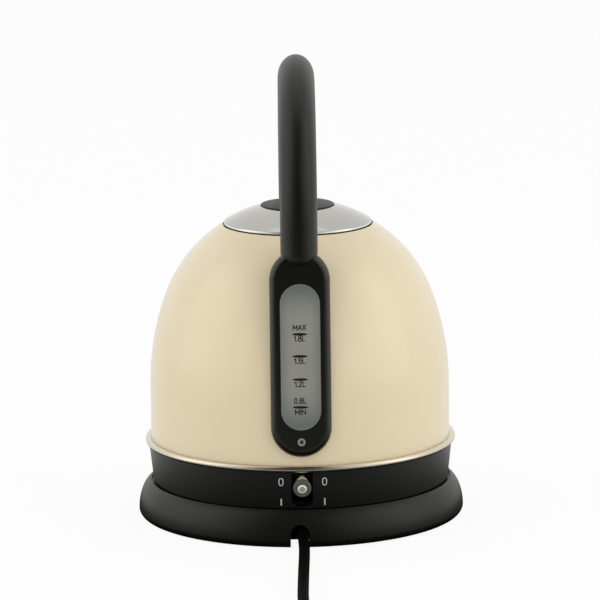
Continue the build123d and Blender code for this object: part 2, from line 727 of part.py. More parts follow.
def spout_cone(inset, low=SPOUT_LEN):
    """The spout's cone with its skin moved in, from low on its axis to above its mouth."""
    low_r = SPOUT_MOUTH_R + SPOUT_TAPER * low - inset
    high_r = SPOUT_MOUTH_R - SPOUT_TAPER * SPOUT_TOP * 2 - inset
    axis = Plane(origin=spout_centre - spout_dir * low, z_dir=spout_dir)
    return axis * Cone(low_r, high_r, low + SPOUT_TOP * 2, align=MIN_UP)


dome_outer = dome_solid()
dome_inner = dome_solid(-BODY_WALL)
above_spout = slab(-BASE_R, BASE_R, 0, BASE_R * 2, spout_z, spout_z * 2)
spout = spout_cone(0) - spout_cone(SPOUT_WALL, SPOUT_LEN * 2) - dome_outer - above_spout
keep("spout", max(spout.solids(), key=lambda solid: solid.volume))

# Strainer: a cup with a drilled floor, welded behind the spout
strainer_low = STRAINER_STATION + STRAINER_T
strainer_in_cone = spout_cone(SPOUT_LEDGE + STRAINER_T, STRAINER_STATION)
strainer_cone = spout_cone(SPOUT_LEDGE, strainer_low)
strainer = (strainer_cone - strainer_in_cone) & dome_inner
strainer -= above_spout
strainer = max(strainer.solids(), key=lambda solid: solid.volume)
strainer_plane = Plane(origin=spout_centre - spout_dir * strainer_low, x_dir=(1, 0, 0), z_dir=spout_dir)
strainer_holes = [(0.0, 0.0)]
for ring_r, ring_count in zip(STRAINER_RING_RS, STRAINER_RING_COUNTS):
    strainer_holes += ring_points(ring_r, ring_count)
for x, y in strainer_holes:
    strainer -= strainer_plane * Pos(x, y) * Cylinder(STRAINER_HOLE_R, STRAINER_T * 4)
keep("spout_strainer", strainer)

# Water gauge panel: a hollow stadium block, a little tilted, fitted to the dome
panel_low_z = RING_TOP_Z + PANEL_GAP
panel_top_z = MOUTH_Z + PANEL_TOP_RISE
panel_tilt = math.radians(PANEL_TILT)
panel_fall = math.radians(PANEL_FALL)
panel_proud = WINDOW_BACK + PANEL_CLEAR + (WALL_TOP_Z - panel_low_z) * math.tan(panel_tilt)
panel_low_y = -BODY_R - panel_proud


def panel_y(z):
    """The panel's face at a height."""
    return panel_low_y + (z - panel_low_z) * math.tan(panel_tilt)


panel_mid_z = (panel_low_z + panel_top_z) / 2
panel_len = (panel_top_z - panel_low_z) / math.cos(panel_tilt)
panel_plane = Plane(
    origin=(0, panel_y(panel_mid_z), panel_mid_z),
    x_dir=(1, 0, 0),
    z_dir=(0, -math.cos(panel_tilt), math.sin(panel_tilt)),
)


def on_panel(z, depth=0.0):
    """A plane on the panel, at a height and a depth behind its face."""
    return panel_plane.offset(-depth) * Pos(0, (z - panel_mid_z) / math.cos(panel_tilt))


def stadium(low_z, high_z, width, depth, thickness):
    """An upright stadium let into the panel."""
    length = (high_z - low_z) / math.cos(panel_tilt)
    outline = on_panel((low_z + high_z) / 2, depth) * SlotOverall(length, width, rotation=90)
    return extrude(outline, -thickness)


def falling_stadium(low_z, high_z, width, depth, thickness):
    """An upright stadium in the panel, with sides that fall towards the dome."""
    length = (high_z - low_z) / math.cos(panel_tilt)
    outline = on_panel((low_z + high_z) / 2, depth) * SlotOverall(length, width, rotation=90)
    return extrude(outline, thickness, dir=(0, math.cos(panel_fall), -math.sin(panel_fall)))


window_low_z = panel_low_z + WINDOW_LOW
window_high_z = panel_top_z - WINDOW_HIGH
nose_z = panel_top_z - NOSE_DROP
strap_low_z = nose_z - STRAP_TAIL
leg_y = -dome_radius(strap_low_z) - STRAP_CLEAR - STRAP_T / 2
panel_back_y = panel_y(panel_top_z) + PANEL_BACK
panel_depth = PANEL_BACK * 2
panel_block = falling_stadium(panel_low_z, panel_top_z, PANEL_W, 0, panel_depth)
panel_block = fillet(panel_block.faces().sort_by(Axis.Y)[0].edges(), PANEL_EDGE_R)
panel_hollow = falling_stadium(
    panel_low_z + PANEL_WALL, panel_top_z - PANEL_WALL, PANEL_W - 2 * PANEL_WALL, PANEL_WALL, panel_depth
)
behind_panel = slab(-PANEL_W, PANEL_W, panel_back_y, 0, 0, panel_top_z * 2)
behind_hollow = slab(-PANEL_W, PANEL_W, panel_back_y - PANEL_WALL, 0, 0, panel_top_z * 2)
panel_screw_z = panel_low_z + PANEL_SCREW_UP
panel_screw_start = (0, panel_y(panel_screw_z) + PANEL_HEAD_SINK, panel_screw_z)
panel_screw_dir = -panel_plane.z_dir
panel_screw_len = panel_proud + BODY_WALL + PANEL_HEAD_SINK
panel_screw_end = Vector(*panel_screw_start) + panel_screw_dir * panel_screw_len
panel_head_end = Vector(*panel_screw_start) + panel_screw_dir * PANEL_HEAD_T
panel_recess_start = Vector(*panel_screw_start) - panel_screw_dir * panel_proud
gauge_housing = panel_block - (panel_hollow - behind_hollow) - behind_panel
gauge_housing += rod(PANEL_BOSS_R, panel_head_end, panel_screw_end) & panel_block
gauge_housing -= rod(PANEL_HEAD_R + FIT, panel_recess_start, panel_head_end)
gauge_housing -= rod(PANEL_SCREW_R + FIT, panel_screw_start, panel_screw_end)
gauge_housing -= stadium(window_low_z, window_high_z, WINDOW_W, -PANEL_WALL, PANEL_WALL * 3)
gauge_housing -= dome_solid(FIT)
panel_screw = rod(PANEL_HEAD_R, panel_screw_start, panel_head_end)
panel_screw += rod(PANEL_SCREW_R, panel_screw_start, panel_screw_end)
keep("panel_screw", panel_screw)

# Gauge window: a flat clear tank with a flange behind the panel and two necks into the kettle
nozzle_zs = (window_low_z + NOZZLE_LOW, strap_low_z - NOZZLE_R - PANEL_WALL)
window = stadium(
    window_low_z + FIT, window_high_z - FIT, WINDOW_W - 2 * FIT, WINDOW_SINK, WINDOW_BACK - WINDOW_SINK
)
window_flange_t = WINDOW_BACK - PANEL_WALL - FIT
window += stadium(
    window_low_z - WINDOW_FLANGE, window_high_z + WINDOW_FLANGE, WINDOW_W + 2 * WINDOW_FLANGE,
    PANEL_WALL + FIT, window_flange_t,
)
channel_depth = (WINDOW_SINK + WINDOW_BACK - CHANNEL_T) / 2
channel = stadium(
    window_low_z + CHANNEL_MARGIN, window_high_z - CHANNEL_MARGIN, CHANNEL_W, channel_depth, CHANNEL_T
)
gauge_seals = []
gauge_bores = []
for z in nozzle_zs:
    back = panel_y(z) + WINDOW_BACK
    inside = -dome_radius(z, -BODY_WALL) + NOZZLE_REACH
    window += rod(NOZZLE_R, (0, back - FIT, z), (0, inside, z))
    window -= rod(NOZZLE_BORE_R, (0, back - WINDOW_BACK / 2, z), (0, inside, z))
    seal_rim_r = NOZZLE_R + SEAL_RIM
    window_back_y = panel_y(z + seal_rim_r) + WINDOW_BACK + 2 * FIT
    seal_front = max(window_back_y, -dome_radius(z - seal_rim_r) - SEAL_LIP)
    seal_end = -dome_radius(z + seal_rim_r, -BODY_WALL) + SEAL_LIP
    seal = rod(seal_rim_r, (0, seal_front, z), (0, seal_end, z))
    gauge_seals.append(seal - rod(NOZZLE_R, (0, seal_front, z), (0, seal_end, z)))
    gauge_bores.append(rod(seal_rim_r, (0, panel_y(z), z), (0, seal_end, z)))
keep("gauge_window", window - channel)
keep("gauge_seals", joined(gauge_seals))

# Handle: an oval arch of two half shells round a steel strap, its front end free above the spout
lid_rim_r = MOUTH_R - LID_EDGE_GAP
seat_top_z = dome_height(MOUTH_R, -BODY_WALL)
flange_low_z = seat_top_z + SLIDE_GAP
lid_low_z = flange_low_z + LINER_FLANGE_T + FIT
lid_edge_z = lid_low_z + LID_RIM_H
LID_ARC_R = (lid_rim_r**2 + LID_SAG**2) / (2 * LID_SAG)
LID_C = (0.0, lid_edge_z + LID_SAG - LID_ARC_R)


def lid_height(r, inset=0.0):
    """Height of the lid's dome at a radius."""
    return LID_C[1] + math.sqrt((LID_ARC_R - inset) ** 2 - r**2)


knob_low_z = lid_height(KNOB_R) - KNOB_SINK
knob_top_z = knob_low_z + KNOB_EDGE + KNOB_CROWN
HANDLE_SPAN = BODY_R + HANDLE_REACH
arch_r = HANDLE_SPAN / 2
arch_y = leg_y + arch_r
arch_z = knob_top_z + HANDLE_RISE - HANDLE_D / 2
free_y = leg_y + HANDLE_SPAN
free_z = arch_z - FREE_LEG


def arch_bar(section, low_z, end_z):
    """A bar of one section up the leg, over the arch and down to the free end."""
    leg = extrude(Plane(origin=(0, leg_y, low_z)) * section, arch_z - low_z)
    end = extrude(Plane(origin=(0, free_y, end_z)) * section, arch_z - end_z)
    turn = Axis((0, arch_y, arch_z), (-1, 0, 0))
    return leg + revolve(Plane(origin=(0, leg_y, arch_z)) * section, turn, 180) + end


def rounded_end(y, z, height, round_r, grow=0.0):
    """A solid oval end of the handle with a rounded underside."""
    oval = Plane(origin=(0, y, z - grow)) * Ellipse(HANDLE_W / 2 + grow, HANDLE_D / 2 + grow)
    block = extrude(oval, height + grow)
    return fillet(block.edges().sort_by(Axis.Z)[:1], round_r)


def half_space(side):
    """A box that holds one half of the handle, up to its seam."""
    box = Box(HANDLE_W, HANDLE_SPAN * 2, arch_z * 4)
    return Pos(side * (HANDLE_W + SEAM) / 2, 0, 0) * box


nose_h = NOSE_ROUND + HANDLE_WALL
free_h = FREE_ROUND + HANDLE_WALL
strap_end_z = free_z + free_h + STRAP_FREE_GAP
oval_ring = Ellipse(HANDLE_W / 2, HANDLE_D / 2)
oval_ring -= Ellipse(HANDLE_W / 2 - HANDLE_WALL, HANDLE_D / 2 - HANDLE_WALL)
strap_space = slab(
    -STRAP_W / 2 - FIT, STRAP_W / 2 + FIT, leg_y - STRAP_T / 2 - FIT, leg_y + STRAP_T / 2 + FIT,
    strap_low_z - FIT, arch_z,
)
boss_reach = (GRIP_BOSS_IN + GRIP_BOSS_R) / (HANDLE_D / 2)
boss_x = HANDLE_W / 2 * math.sqrt(1 - boss_reach**2) - SLIDE_GAP
grip_places = []
for degrees in GRIP_SCREW_ANGLES:
    angle = math.radians(degrees)
    reach = arch_r - GRIP_BOSS_IN
    grip_places.append((arch_y - reach * math.cos(angle), arch_z + reach * math.sin(angle)))


def handle_half(side):
    """One half shell of the handle, with its screw bosses."""
    seam_x = side * SEAM / 2
    half_ring = oval_ring & (Pos(seam_x + side * HANDLE_W / 2, 0) * Rectangle(HANDLE_W, HANDLE_D * 2))
    half = arch_bar(half_ring, nose_z + nose_h, free_z + free_h)
    half += rounded_end(leg_y, nose_z, nose_h, NOSE_ROUND) & half_space(side)
    half += rounded_end(free_y, free_z, free_h, FREE_ROUND) & half_space(side)
    for y, z in grip_places:
        half += rod(GRIP_BOSS_R, (seam_x, y, z), (side * boss_x, y, z))
        half -= rod(SMALL_SCREW_R + FIT, (-GRIP_TIP_X, y, z), (GRIP_HEAD_X, y, z))
        half -= rod(SMALL_HEAD_R + FIT, (GRIP_HEAD_X, y, z), (HANDLE_W, y, z))
    return half - strap_space


keep("handle_left", handle_half(-1))
keep("handle_right", handle_half(1))
grip_head_end = GRIP_HEAD_X + SMALL_HEAD_T
keep(
    "grip_screws",
    joined(
        rod(SMALL_SCREW_R, (-GRIP_TIP_X + FIT, y, z), (grip_head_end, y, z))
        + rod(SMALL_HEAD_R, (GRIP_HEAD_X, y, z), (grip_head_end, y, z))
        for y, z in grip_places
    ),
)

# Strap screwed to two posts that are welded to the dome
strap = arch_bar(Rectangle(STRAP_W, STRAP_T), strap_low_z, strap_end_z)
strap_front_y = leg_y - STRAP_T / 2
strap_back_y = leg_y + STRAP_T / 2
posts = []
strap_screws = []
for up in POST_UPS:
    z = strap_low_z + up
    post = rod(POST_R, (0, strap_back_y, z), (0, 0, z)) - dome_outer
    post = min(post.solids(), key=lambda solid: solid.center().Y)
    head_start = (0, strap_front_y - SCREW_HEAD_T, z)
    head_end = (0, strap_front_y, z)
    shank_end = (0, -dome_radius(z - SCREW_R) - BODY_WALL, z)
    hole = rod(SCREW_R + FIT, head_start, shank_end)
    strap -= hole
    posts.append(post - hole)
    strap_screws.append(rod(SCREW_R, head_start, shank_end) + rod(STRAP_HEAD_R, head_start, head_end))
    gauge_housing -= rod(POST_R + FIT, (0, strap_back_y, z), (0, 0, z))
keep("handle_strap", strap)
keep("handle_posts", joined(posts))
keep("strap_screws", joined(strap_screws))
gauge_housing -= strap_space
gauge_housing -= rounded_end(leg_y, nose_z, panel_top_z, NOSE_ROUND, FIT)
keep("gauge_housing", max(gauge_housing.solids(), key=lambda solid: solid.volume))

# Dome: one drawn sheet shell, open at the mouth, the spout and the two gauge holes
below_spout_rim = slab(-BASE_R, BASE_R, 0, BASE_R * 2, 0, spout_z - SPOUT_HOLE_DROP)
dome_shell = dome_outer - dome_inner
dome_shell -= disc(MOUTH_R, SPOUT_LEN, MOUTH_Z * 2)
dome_shell -= disc(BODY_R - BODY_WALL, 0, WALL_TOP_Z)
dome_shell -= spout_cone(SPOUT_LEDGE) & below_spout_rim
for gauge_bore in gauge_bores:
    dome_shell -= gauge_bore
dome_shell -= rod(PANEL_SCREW_R + FIT, panel_screw_start, panel_screw_end)
keep("dome_shell", dome_shell)

# Lid seat: a pressed ring under the mouth, with a ledge for the lid
seat_out_r = MOUTH_R - FIT
seat_in_r = seat_out_r - SEAT_WALL
seat_low_z = MOUTH_Z - SEAT_DEPTH
keep(
    "lid_seat",
    turned_polygon(
        [
            (seat_in_r - SEAT_LEDGE, seat_low_z),
            (seat_out_r, seat_low_z),
            (seat_out_r, seat_top_z),
            (seat_in_r, seat_top_z),
            (seat_in_r, seat_low_z + SEAT_WALL),
            (seat_in_r - SEAT_LEDGE, seat_low_z + SEAT_WALL),
        ]
    ),
)

# Lid: a polished cap with a small dish for the knob's stem, a liner under it and a seal round the liner
dish_z = lid_height(LID_DISH_R + LID_DISH_SLOPE) - LID_DISH_DROP
dish_rim_r = LID_DISH_R + LID_DISH_SLOPE
rim_turn = math.degrees(math.acos(lid_rim_r / LID_ARC_R))
dish_turn = math.degrees(math.acos(dish_rim_r / LID_ARC_R))
inner_rim_r = lid_rim_r - LID_T
inner_rim_z = lid_height(inner_rim_r, LID_T)
inner_rim_turn = math.degrees(math.acos(inner_rim_r / (LID_ARC_R - LID_T)))
inner_dish_turn = math.degrees(math.acos(dish_rim_r / (LID_ARC_R - LID_T)))
lid_rim = around(LID_C, LID_ARC_R, rim_turn)
lid_dish = around(LID_C, LID_ARC_R, dish_turn)
inner_rim = around(LID_C, LID_ARC_R - LID_T, inner_rim_turn)
inner_dish = around(LID_C, LID_ARC_R - LID_T, inner_dish_turn)
lid_cap = turned(
    [
        Line(rz(lid_rim_r, lid_low_z), lid_rim),
        ThreePointArc(lid_rim, around(LID_C, LID_ARC_R, (rim_turn + dish_turn) / 2), lid_dish),
        Line(lid_dish, rz(LID_DISH_R, dish_z)),
        Line(rz(LID_DISH_R, dish_z), rz(0, dish_z)),
        Line(rz(0, dish_z), rz(0, dish_z - LID_T)),
        Line(rz(0, dish_z - LID_T), rz(LID_DISH_R, dish_z - LID_T)),
        Line(rz(LID_DISH_R, dish_z - LID_T), inner_dish),
        ThreePointArc(
            inner_dish, around(LID_C, LID_ARC_R - LID_T, (inner_rim_turn + inner_dish_turn) / 2), inner_rim
        ),
        Line(inner_rim, rz(inner_rim_r, lid_low_z)),
        Line(rz(inner_rim_r, lid_low_z), rz(lid_rim_r, lid_low_z)),
    ]
)
lid_circles = lid_cap.edges().filter_by(GeomType.CIRCLE)
rim_circles = lid_circles.filter_by(lambda edge: abs(edge.radius - lid_rim_r) < FIT)
lid_cap = fillet(rim_circles.sort_by(Axis.Z)[-1:], LID_ROUND)
lid_cap -= disc(KNOB_SCREW_R + FIT, dish_z - LID_T, dish_z)
keep("lid_cap", lid_cap)
liner_r = seat_in_r - LINER_GAP
liner_in_r = liner_r - LINER_WALL
liner_low_z = seat_low_z + SEAT_WALL + SLIDE_GAP
liner_floor_z = liner_low_z + LINER_WALL
liner_top_z = lid_height(liner_r, LID_T + FIT)
keep(
    "lid_liner",
    turned_polygon(
        [
            (0, liner_low_z),
            (liner_r, liner_low_z),
            (liner_r, flange_low_z),
            (lid_rim_r, flange_low_z),
            (lid_rim_r, flange_low_z + LINER_FLANGE_T),
            (liner_r, flange_low_z + LINER_FLANGE_T),
            (liner_r, liner_top_z),
            (liner_in_r, liner_top_z),
            (liner_in_r, liner_floor_z),
            (0, liner_floor_z),
        ]
    ),
)
lid_seal_low = liner_low_z + LID_SEAL_LIFT
keep("lid_seal", tube(seat_in_r - SLIDE_GAP, liner_r, lid_seal_low, lid_seal_low + LID_SEAL_H))

# Knob: a low disc on a short stem, held by a screw from inside the lid
knob_edge_z = knob_low_z + KNOB_EDGE
knob_arc_r = (KNOB_R**2 + KNOB_CROWN**2) / (2 * KNOB_CROWN)
knob_mid_r = KNOB_R / 2
knob_mid_z = knob_top_z - knob_arc_r + math.sqrt(knob_arc_r**2 - knob_mid_r**2)
lid_knob = turned(
    [
        Line(rz(0, dish_z), rz(KNOB_STEM_R, dish_z)),
        Line(rz(KNOB_STEM_R, dish_z), rz(KNOB_STEM_R, knob_low_z)),
        Line(rz(KNOB_STEM_R, knob_low_z), rz(KNOB_R, knob_low_z)),
        Line(rz(KNOB_R, knob_low_z), rz(KNOB_R, knob_edge_z)),
        ThreePointArc(rz(KNOB_R, knob_edge_z), rz(knob_mid_r, knob_mid_z), rz(0, knob_top_z)),
        Line(rz(0, knob_top_z), rz(0, dish_z)),
    ]
)
lid_knob = fillet(lid_knob.edges().filter_by(GeomType.CIRCLE).sort_by(SortBy.RADIUS)[-2:], KNOB_EDGE / 3)
knob_screw_top = knob_low_z
lid_knob -= disc(KNOB_SCREW_R + FIT, dish_z, knob_screw_top)
keep("lid_knob", lid_knob)
knob_screw_low = dish_z - LID_T - SCREW_HEAD_T
keep(
    "knob_screw",
    disc(KNOB_SCREW_R, knob_screw_low, knob_screw_top - FIT)
    + disc(KNOB_SCREW_HEAD_R, knob_screw_low, dish_z - LID_T),
)

# Kettle floor, its seal, and the heater under it
floor_r = BODY_R - BODY_WALL - FIT
steam_place = (STEAM_X, STEAM_Y)
steam_top_z = MOUTH_Z - STEAM_DROP
steam_low_z = DIFFUSER_LOW_Z - STEAM_TAIL
keep("floor_seal", tube(floor_r, floor_r - SPIGOT_W, SPIGOT_TOP_Z, FLOOR_LOW_Z))
floor_plate = disc(floor_r, FLOOR_LOW_Z, FLOOR_TOP_Z)
keep("floor_plate", floor_plate - disc(BUSH_R + FIT, FLOOR_LOW_Z, FLOOR_TOP_Z, *steam_place))
steam_tube = tube(STEAM_R, STEAM_BORE_R, steam_low_z, steam_top_z, *steam_place)
keep("steam_tube", steam_tube)
steam_bush = disc(BUSH_R, FLOOR_LOW_Z, FLOOR_TOP_Z, *steam_place)
steam_bush += disc(BUSH_FLANGE_R, FLOOR_TOP_Z, FLOOR_TOP_Z + BUSH_FLANGE_T, *steam_place)
keep("steam_bush", steam_bush - disc(STEAM_R, FLOOR_LOW_Z, FLOOR_TOP_Z + BUSH_FLANGE_T, *steam_place))
diffuser = disc(DIFFUSER_R, DIFFUSER_LOW_Z, FLOOR_LOW_Z)
diffuser -= disc(BUSH_R, DIFFUSER_LOW_Z, FLOOR_LOW_Z, *steam_place)
for x, y in housing_screw_places:
    diffuser -= disc(SCREW_R + FIT, DIFFUSER_LOW_Z, housing_screw_top, x, y)
control_screw_places = [(-CONTROL_POST_X, 0), (CONTROL_POST_X, 0)]
for x, y in control_screw_places:
    diffuser -= disc(SCREW_R + FIT, DIFFUSER_LOW_Z, housing_screw_top, x, y)
keep("diffuser_plate", diffuser)
element_z = DIFFUSER_LOW_Z - ELEMENT_TUBE_R
element_start = -90.0 - ELEMENT_SWEEP / 2 + 180.0
element_section = Plane(origin=(ELEMENT_R, 0, element_z), z_dir=(0, 1, 0)) * Circle(ELEMENT_TUBE_R)
element = Rot(0, 0, element_start) * revolve(element_section, Axis.Z, ELEMENT_SWEEP)
for degrees in (element_start, element_start + ELEMENT_SWEEP):
    x = ELEMENT_R * math.cos(math.radians(degrees))
    y = ELEMENT_R * math.sin(math.radians(degrees))
    element += disc(COLD_PIN_R, element_z - COLD_PIN_LEN, element_z, x, y)
keep("heating_element", element)

# Control under the heater, with its two bimetal discs and the plug half of the round connector
control = disc(CONTROL_R, CONTROL_LOW_Z, CONTROL_TOP_Z)
for x, y in control_screw_places:
    control += disc(CONTROL_POST_R, CONTROL_TOP_Z, DIFFUSER_LOW_Z, x, y)
    control -= disc(SCREW_R + FIT, CONTROL_LOW_Z, DIFFUSER_LOW_Z, x, y)
bimetal_top = DIFFUSER_LOW_Z - BIMETAL_GAP
bimetals = []
for y in (-BIMETAL_Y, BIMETAL_Y):
    control += disc(BIMETAL_POST_R, CONTROL_TOP_Z, bimetal_top - BIMETAL_T, 0, y)
    bimetals.append(disc(BIMETAL_R, bimetal_top - BIMETAL_T, bimetal_top, 0, y))
keep("control_block", control)
keep("bimetal_discs", joined(bimetals))
keep(
    "control_screws",
    joined(
        disc(SCREW_HEAD_R, CONTROL_LOW_Z - SCREW_HEAD_T, CONTROL_LOW_Z, x, y)
        + disc(SCREW_R, CONTROL_LOW_Z, housing_screw_top, x, y)
        for x, y in control_screw_places
    ),
)
coupler_low = GROOVE_FLOOR_Z + COUPLER_LIFT
coupler_in_r = GROOVE_IN_R + CONTACT_T + COUPLER_GAP
coupler_out_r = GROOVE_OUT_R - CONTACT_T - COUPLER_GAP
keep("coupler_sleeve", tube(coupler_out_r, coupler_in_r, coupler_low, CONTROL_LOW_Z))
keep("coupler_pin", disc(EARTH_BORE_R - CONTACT_T - COUPLER_GAP, coupler_low, CONTROL_LOW_Z))

# Switch: a clear conical lever on a pin, a shutter behind the slot and a lamp behind the lever
pivot_y = -BODY_R + PIVOT_INSET
pivot_z = SKIRT_TOP_Z - PIVOT_DROP
drop = math.radians(LEVER_DROP)
lever_plane = Plane(
    origin=(0, pivot_y, pivot_z), x_dir=(1, 0, 0), z_dir=(0, -math.cos(drop), -math.sin(drop))
)


def along_lever(station):
    """A plane across the lever, at a distance from its pivot."""
    return lever_plane.offset(station)


def across_pivot(radius, width, y=pivot_y, z=pivot_z):
    """A round bar across the switch, centred on the mid plane."""
    return rod(radius, (-width / 2, y, z), (width / 2, y, z))


lever_land_at = LEVER_LEN - LEVER_LAND
cone_len = lever_land_at - LEVER_NECK


def lever_cone(grow=0.0):
    """The lever's cone, with its skin moved out by grow."""
    return along_lever(LEVER_NECK) * Cone(
        LEVER_NECK_R + grow, LEVER_TIP_R + grow, cone_len, align=MIN_UP
    )


lever_end = along_lever(lever_land_at) * Cylinder(LEVER_TIP_R, LEVER_LAND, align=MIN_UP)
lever_end = fillet(lever_end.edges().sort_by(Axis.Y)[:1], LEVER_ROUND)
core_at = LEVER_LEN - CORE_LEN
toggle_lever = across_pivot(HUB_R, HUB_W) + lever_cone() + lever_end
toggle_lever -= across_pivot(PIN_R + BORE_GAP, HUB_W)
toggle_lever -= along_lever(core_at) * Cylinder(CORE_R, CORE_LEN, align=MIN_UP)
keep("toggle_lever", toggle_lever)
toggle_core = along_lever(core_at) * Cylinder(CORE_R, CORE_LEN + CORE_PROUD, align=MIN_UP)
keep("toggle_core", chamfer(toggle_core.edges().sort_by(Axis.Y)[:1], CORE_PROUD))
shutter = across_pivot(SHUTTER_R, SHUTTER_W) - across_pivot(SHUTTER_R - SHUTTER_T, SHUTTER_W)
shutter_zone = lever_plane * Pos(0, (SHUTTER_UP - SHUTTER_DOWN) / 2, SHUTTER_R) * Box(
    SHUTTER_W * 2, SHUTTER_UP + SHUTTER_DOWN, SHUTTER_R
)
keep("toggle_shutter", (shutter & shutter_zone) - lever_cone())

# Bracket that carries the toggle, the lamp and the rocker
ear_in_x = HUB_W / 2 + EAR_GAP
ear_out_x = ear_in_x + BRACKET_T
bracket_top_z = SKIRT_FLOOR_Z + BRACKET_T
rocker_y = pivot_y + ROCKER_BACK
rocker_z = bracket_top_z + ROCKER_UP
rocker_ear_in_x = ROCKER_W / 2 + EAR_GAP
rocker_ear_out_x = rocker_ear_in_x + BRACKET_T
lamp_front_y = pivot_y + HUB_R + LAMP_GAP
lamp_wall_y = pivot_y + EAR_BACK + LAMP_GAP
bracket = slab(
    -ear_out_x, ear_out_x, pivot_y - EAR_FRONT, rocker_y + ROCKER_EAR_L / 2, SKIRT_FLOOR_Z, bracket_top_z
)
lamp_wall_top_z = pivot_z + LAMP_R + BRACKET_T
bracket += slab(
    -ear_out_x, ear_out_x, lamp_wall_y, lamp_wall_y + BRACKET_T, SKIRT_FLOOR_Z, lamp_wall_top_z
)
for side in (-1, 1):
    ear = slab(
        ear_in_x, ear_out_x, pivot_y - EAR_FRONT, lamp_wall_y + BRACKET_T, SKIRT_FLOOR_Z, pivot_z + EAR_TOP
    )
    rocker_ear = slab(
        rocker_ear_in_x, rocker_ear_out_x, rocker_y - ROCKER_EAR_L / 2, rocker_y + ROCKER_EAR_L / 2,
        SKIRT_FLOOR_Z, rocker_z + ROCKER_HUB_R,
    )
    bracket += ear if side > 0 else mirror(ear, Plane.YZ)
    bracket += rocker_ear if side > 0 else mirror(rocker_ear, Plane.YZ)
bracket -= across_pivot(PIN_R, ear_out_x * 2)
bracket -= across_pivot(ROCKER_PIN_R, rocker_ear_out_x * 2, rocker_y, rocker_z)
bracket -= rod(LAMP_R + FIT, (0, lamp_front_y, pivot_z), (0, lamp_front_y + LAMP_LEN, pivot_z))
keep("switch_bracket", bracket)
keep("toggle_pin", across_pivot(PIN_R, ear_out_x * 2))
keep("rocker_pin", across_pivot(ROCKER_PIN_R, rocker_ear_out_x * 2, rocker_y, rocker_z))
keep("pilot_lamp", rod(LAMP_R, (0, lamp_front_y, pivot_z), (0, lamp_front_y + LAMP_LEN, pivot_z)))
rocker = across_pivot(ROCKER_HUB_R, ROCKER_W, rocker_y, rocker_z)
rocker += slab(
    -ROCKER_W / 2, ROCKER_W / 2, rocker_y - ROCKER_LEN / 2, rocker_y + ROCKER_LEN / 2,
    rocker_z - ROCKER_T / 2, rocker_z + ROCKER_T / 2,
)
keep("switch_rocker", rocker - across_pivot(ROCKER_PIN_R + BORE_GAP, ROCKER_W, rocker_y, rocker_z))

print("toggle pivot", round(pivot_y, 2), round(pivot_z, 2))
print("rocker pivot", round(rocker_y, 2), round(rocker_z, 2))
print("mouth", round(MOUTH_Z, 2), "knob top", round(knob_top_z, 2))

os.makedirs("parts", exist_ok=True)
for name, shape in parts.items():
    export_step(shape, "parts/" + name + ".step")
print(len(parts), "pieces")
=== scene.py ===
import math

import bmesh
import bpy
from mathutils import Matrix, Vector


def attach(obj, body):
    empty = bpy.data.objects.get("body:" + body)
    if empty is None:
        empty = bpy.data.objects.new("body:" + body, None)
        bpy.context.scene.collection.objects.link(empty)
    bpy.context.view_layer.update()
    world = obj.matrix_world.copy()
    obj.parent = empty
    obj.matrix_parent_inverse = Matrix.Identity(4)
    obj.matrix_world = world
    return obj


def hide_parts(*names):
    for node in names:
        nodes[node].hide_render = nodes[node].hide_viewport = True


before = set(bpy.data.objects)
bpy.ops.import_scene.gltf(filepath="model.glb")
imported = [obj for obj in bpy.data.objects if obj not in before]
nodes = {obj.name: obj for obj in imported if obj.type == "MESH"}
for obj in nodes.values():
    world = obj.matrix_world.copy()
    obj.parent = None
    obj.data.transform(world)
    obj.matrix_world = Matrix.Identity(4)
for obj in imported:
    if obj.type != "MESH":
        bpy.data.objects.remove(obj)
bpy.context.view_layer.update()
scene = bpy.context.scene
MM = 0.001


# Studio: the kettle stands on a pale table and is seen from the side with the gauge and the switch.
# Large soft boxes stand left and right of it and one hangs above, and the camera's side is dark.
CAMERA_AIM = Vector((0.0008, 0.0, 0.1282))
CAMERA_DISTANCE = 2.9
CAMERA_UP = math.radians(11.0)
CAMERA_ROUND = math.radians(-0.45)
CAMERA_ROLL = math.radians(-0.72)
PICTURE_SPAN = 0.3552
SENSOR = 36.0
RIGHT_BOX_AT = Vector((1.4, -0.8, 0.75))
LEFT_BOX_AT = Vector((-1.5, -0.5, 0.75))
SIDE_BOX_SIZE = (2.2, 2.0)
RIGHT_BOX_POWER = 11.0
LEFT_BOX_POWER = 8.5
TOP_BOX_AT = Vector((0.0, 0.25, 1.9))
TOP_BOX_SIZE = (1.2, 1.2)
TOP_BOX_POWER = 1.0
WHITE = (1.0, 1.0, 1.0, 1.0)
AMBIENT = 0.79
DARK_SIDE = 0.03
DARK_FROM = 0.1
DARK_TO = 0.8
LEAST_FLAT = 0.05
TABLE_HALF = 6.0
TABLE_CORNERS = ((-1, -1), (1, -1), (1, 1), (-1, 1))
TABLE_COLOUR = (0.84, 0.84, 0.83, 1.0)
TABLE_ROUGHNESS = 0.8
TABLE_WHITE = 0.92
TABLE_LIT = 0.9
TABLE_FRONT = 0.45
TABLE_FRONT_FAR = 0.1
TABLE_SHADED = (0.12, 0.22)
TABLE_FADES = (0.4, 0.7)

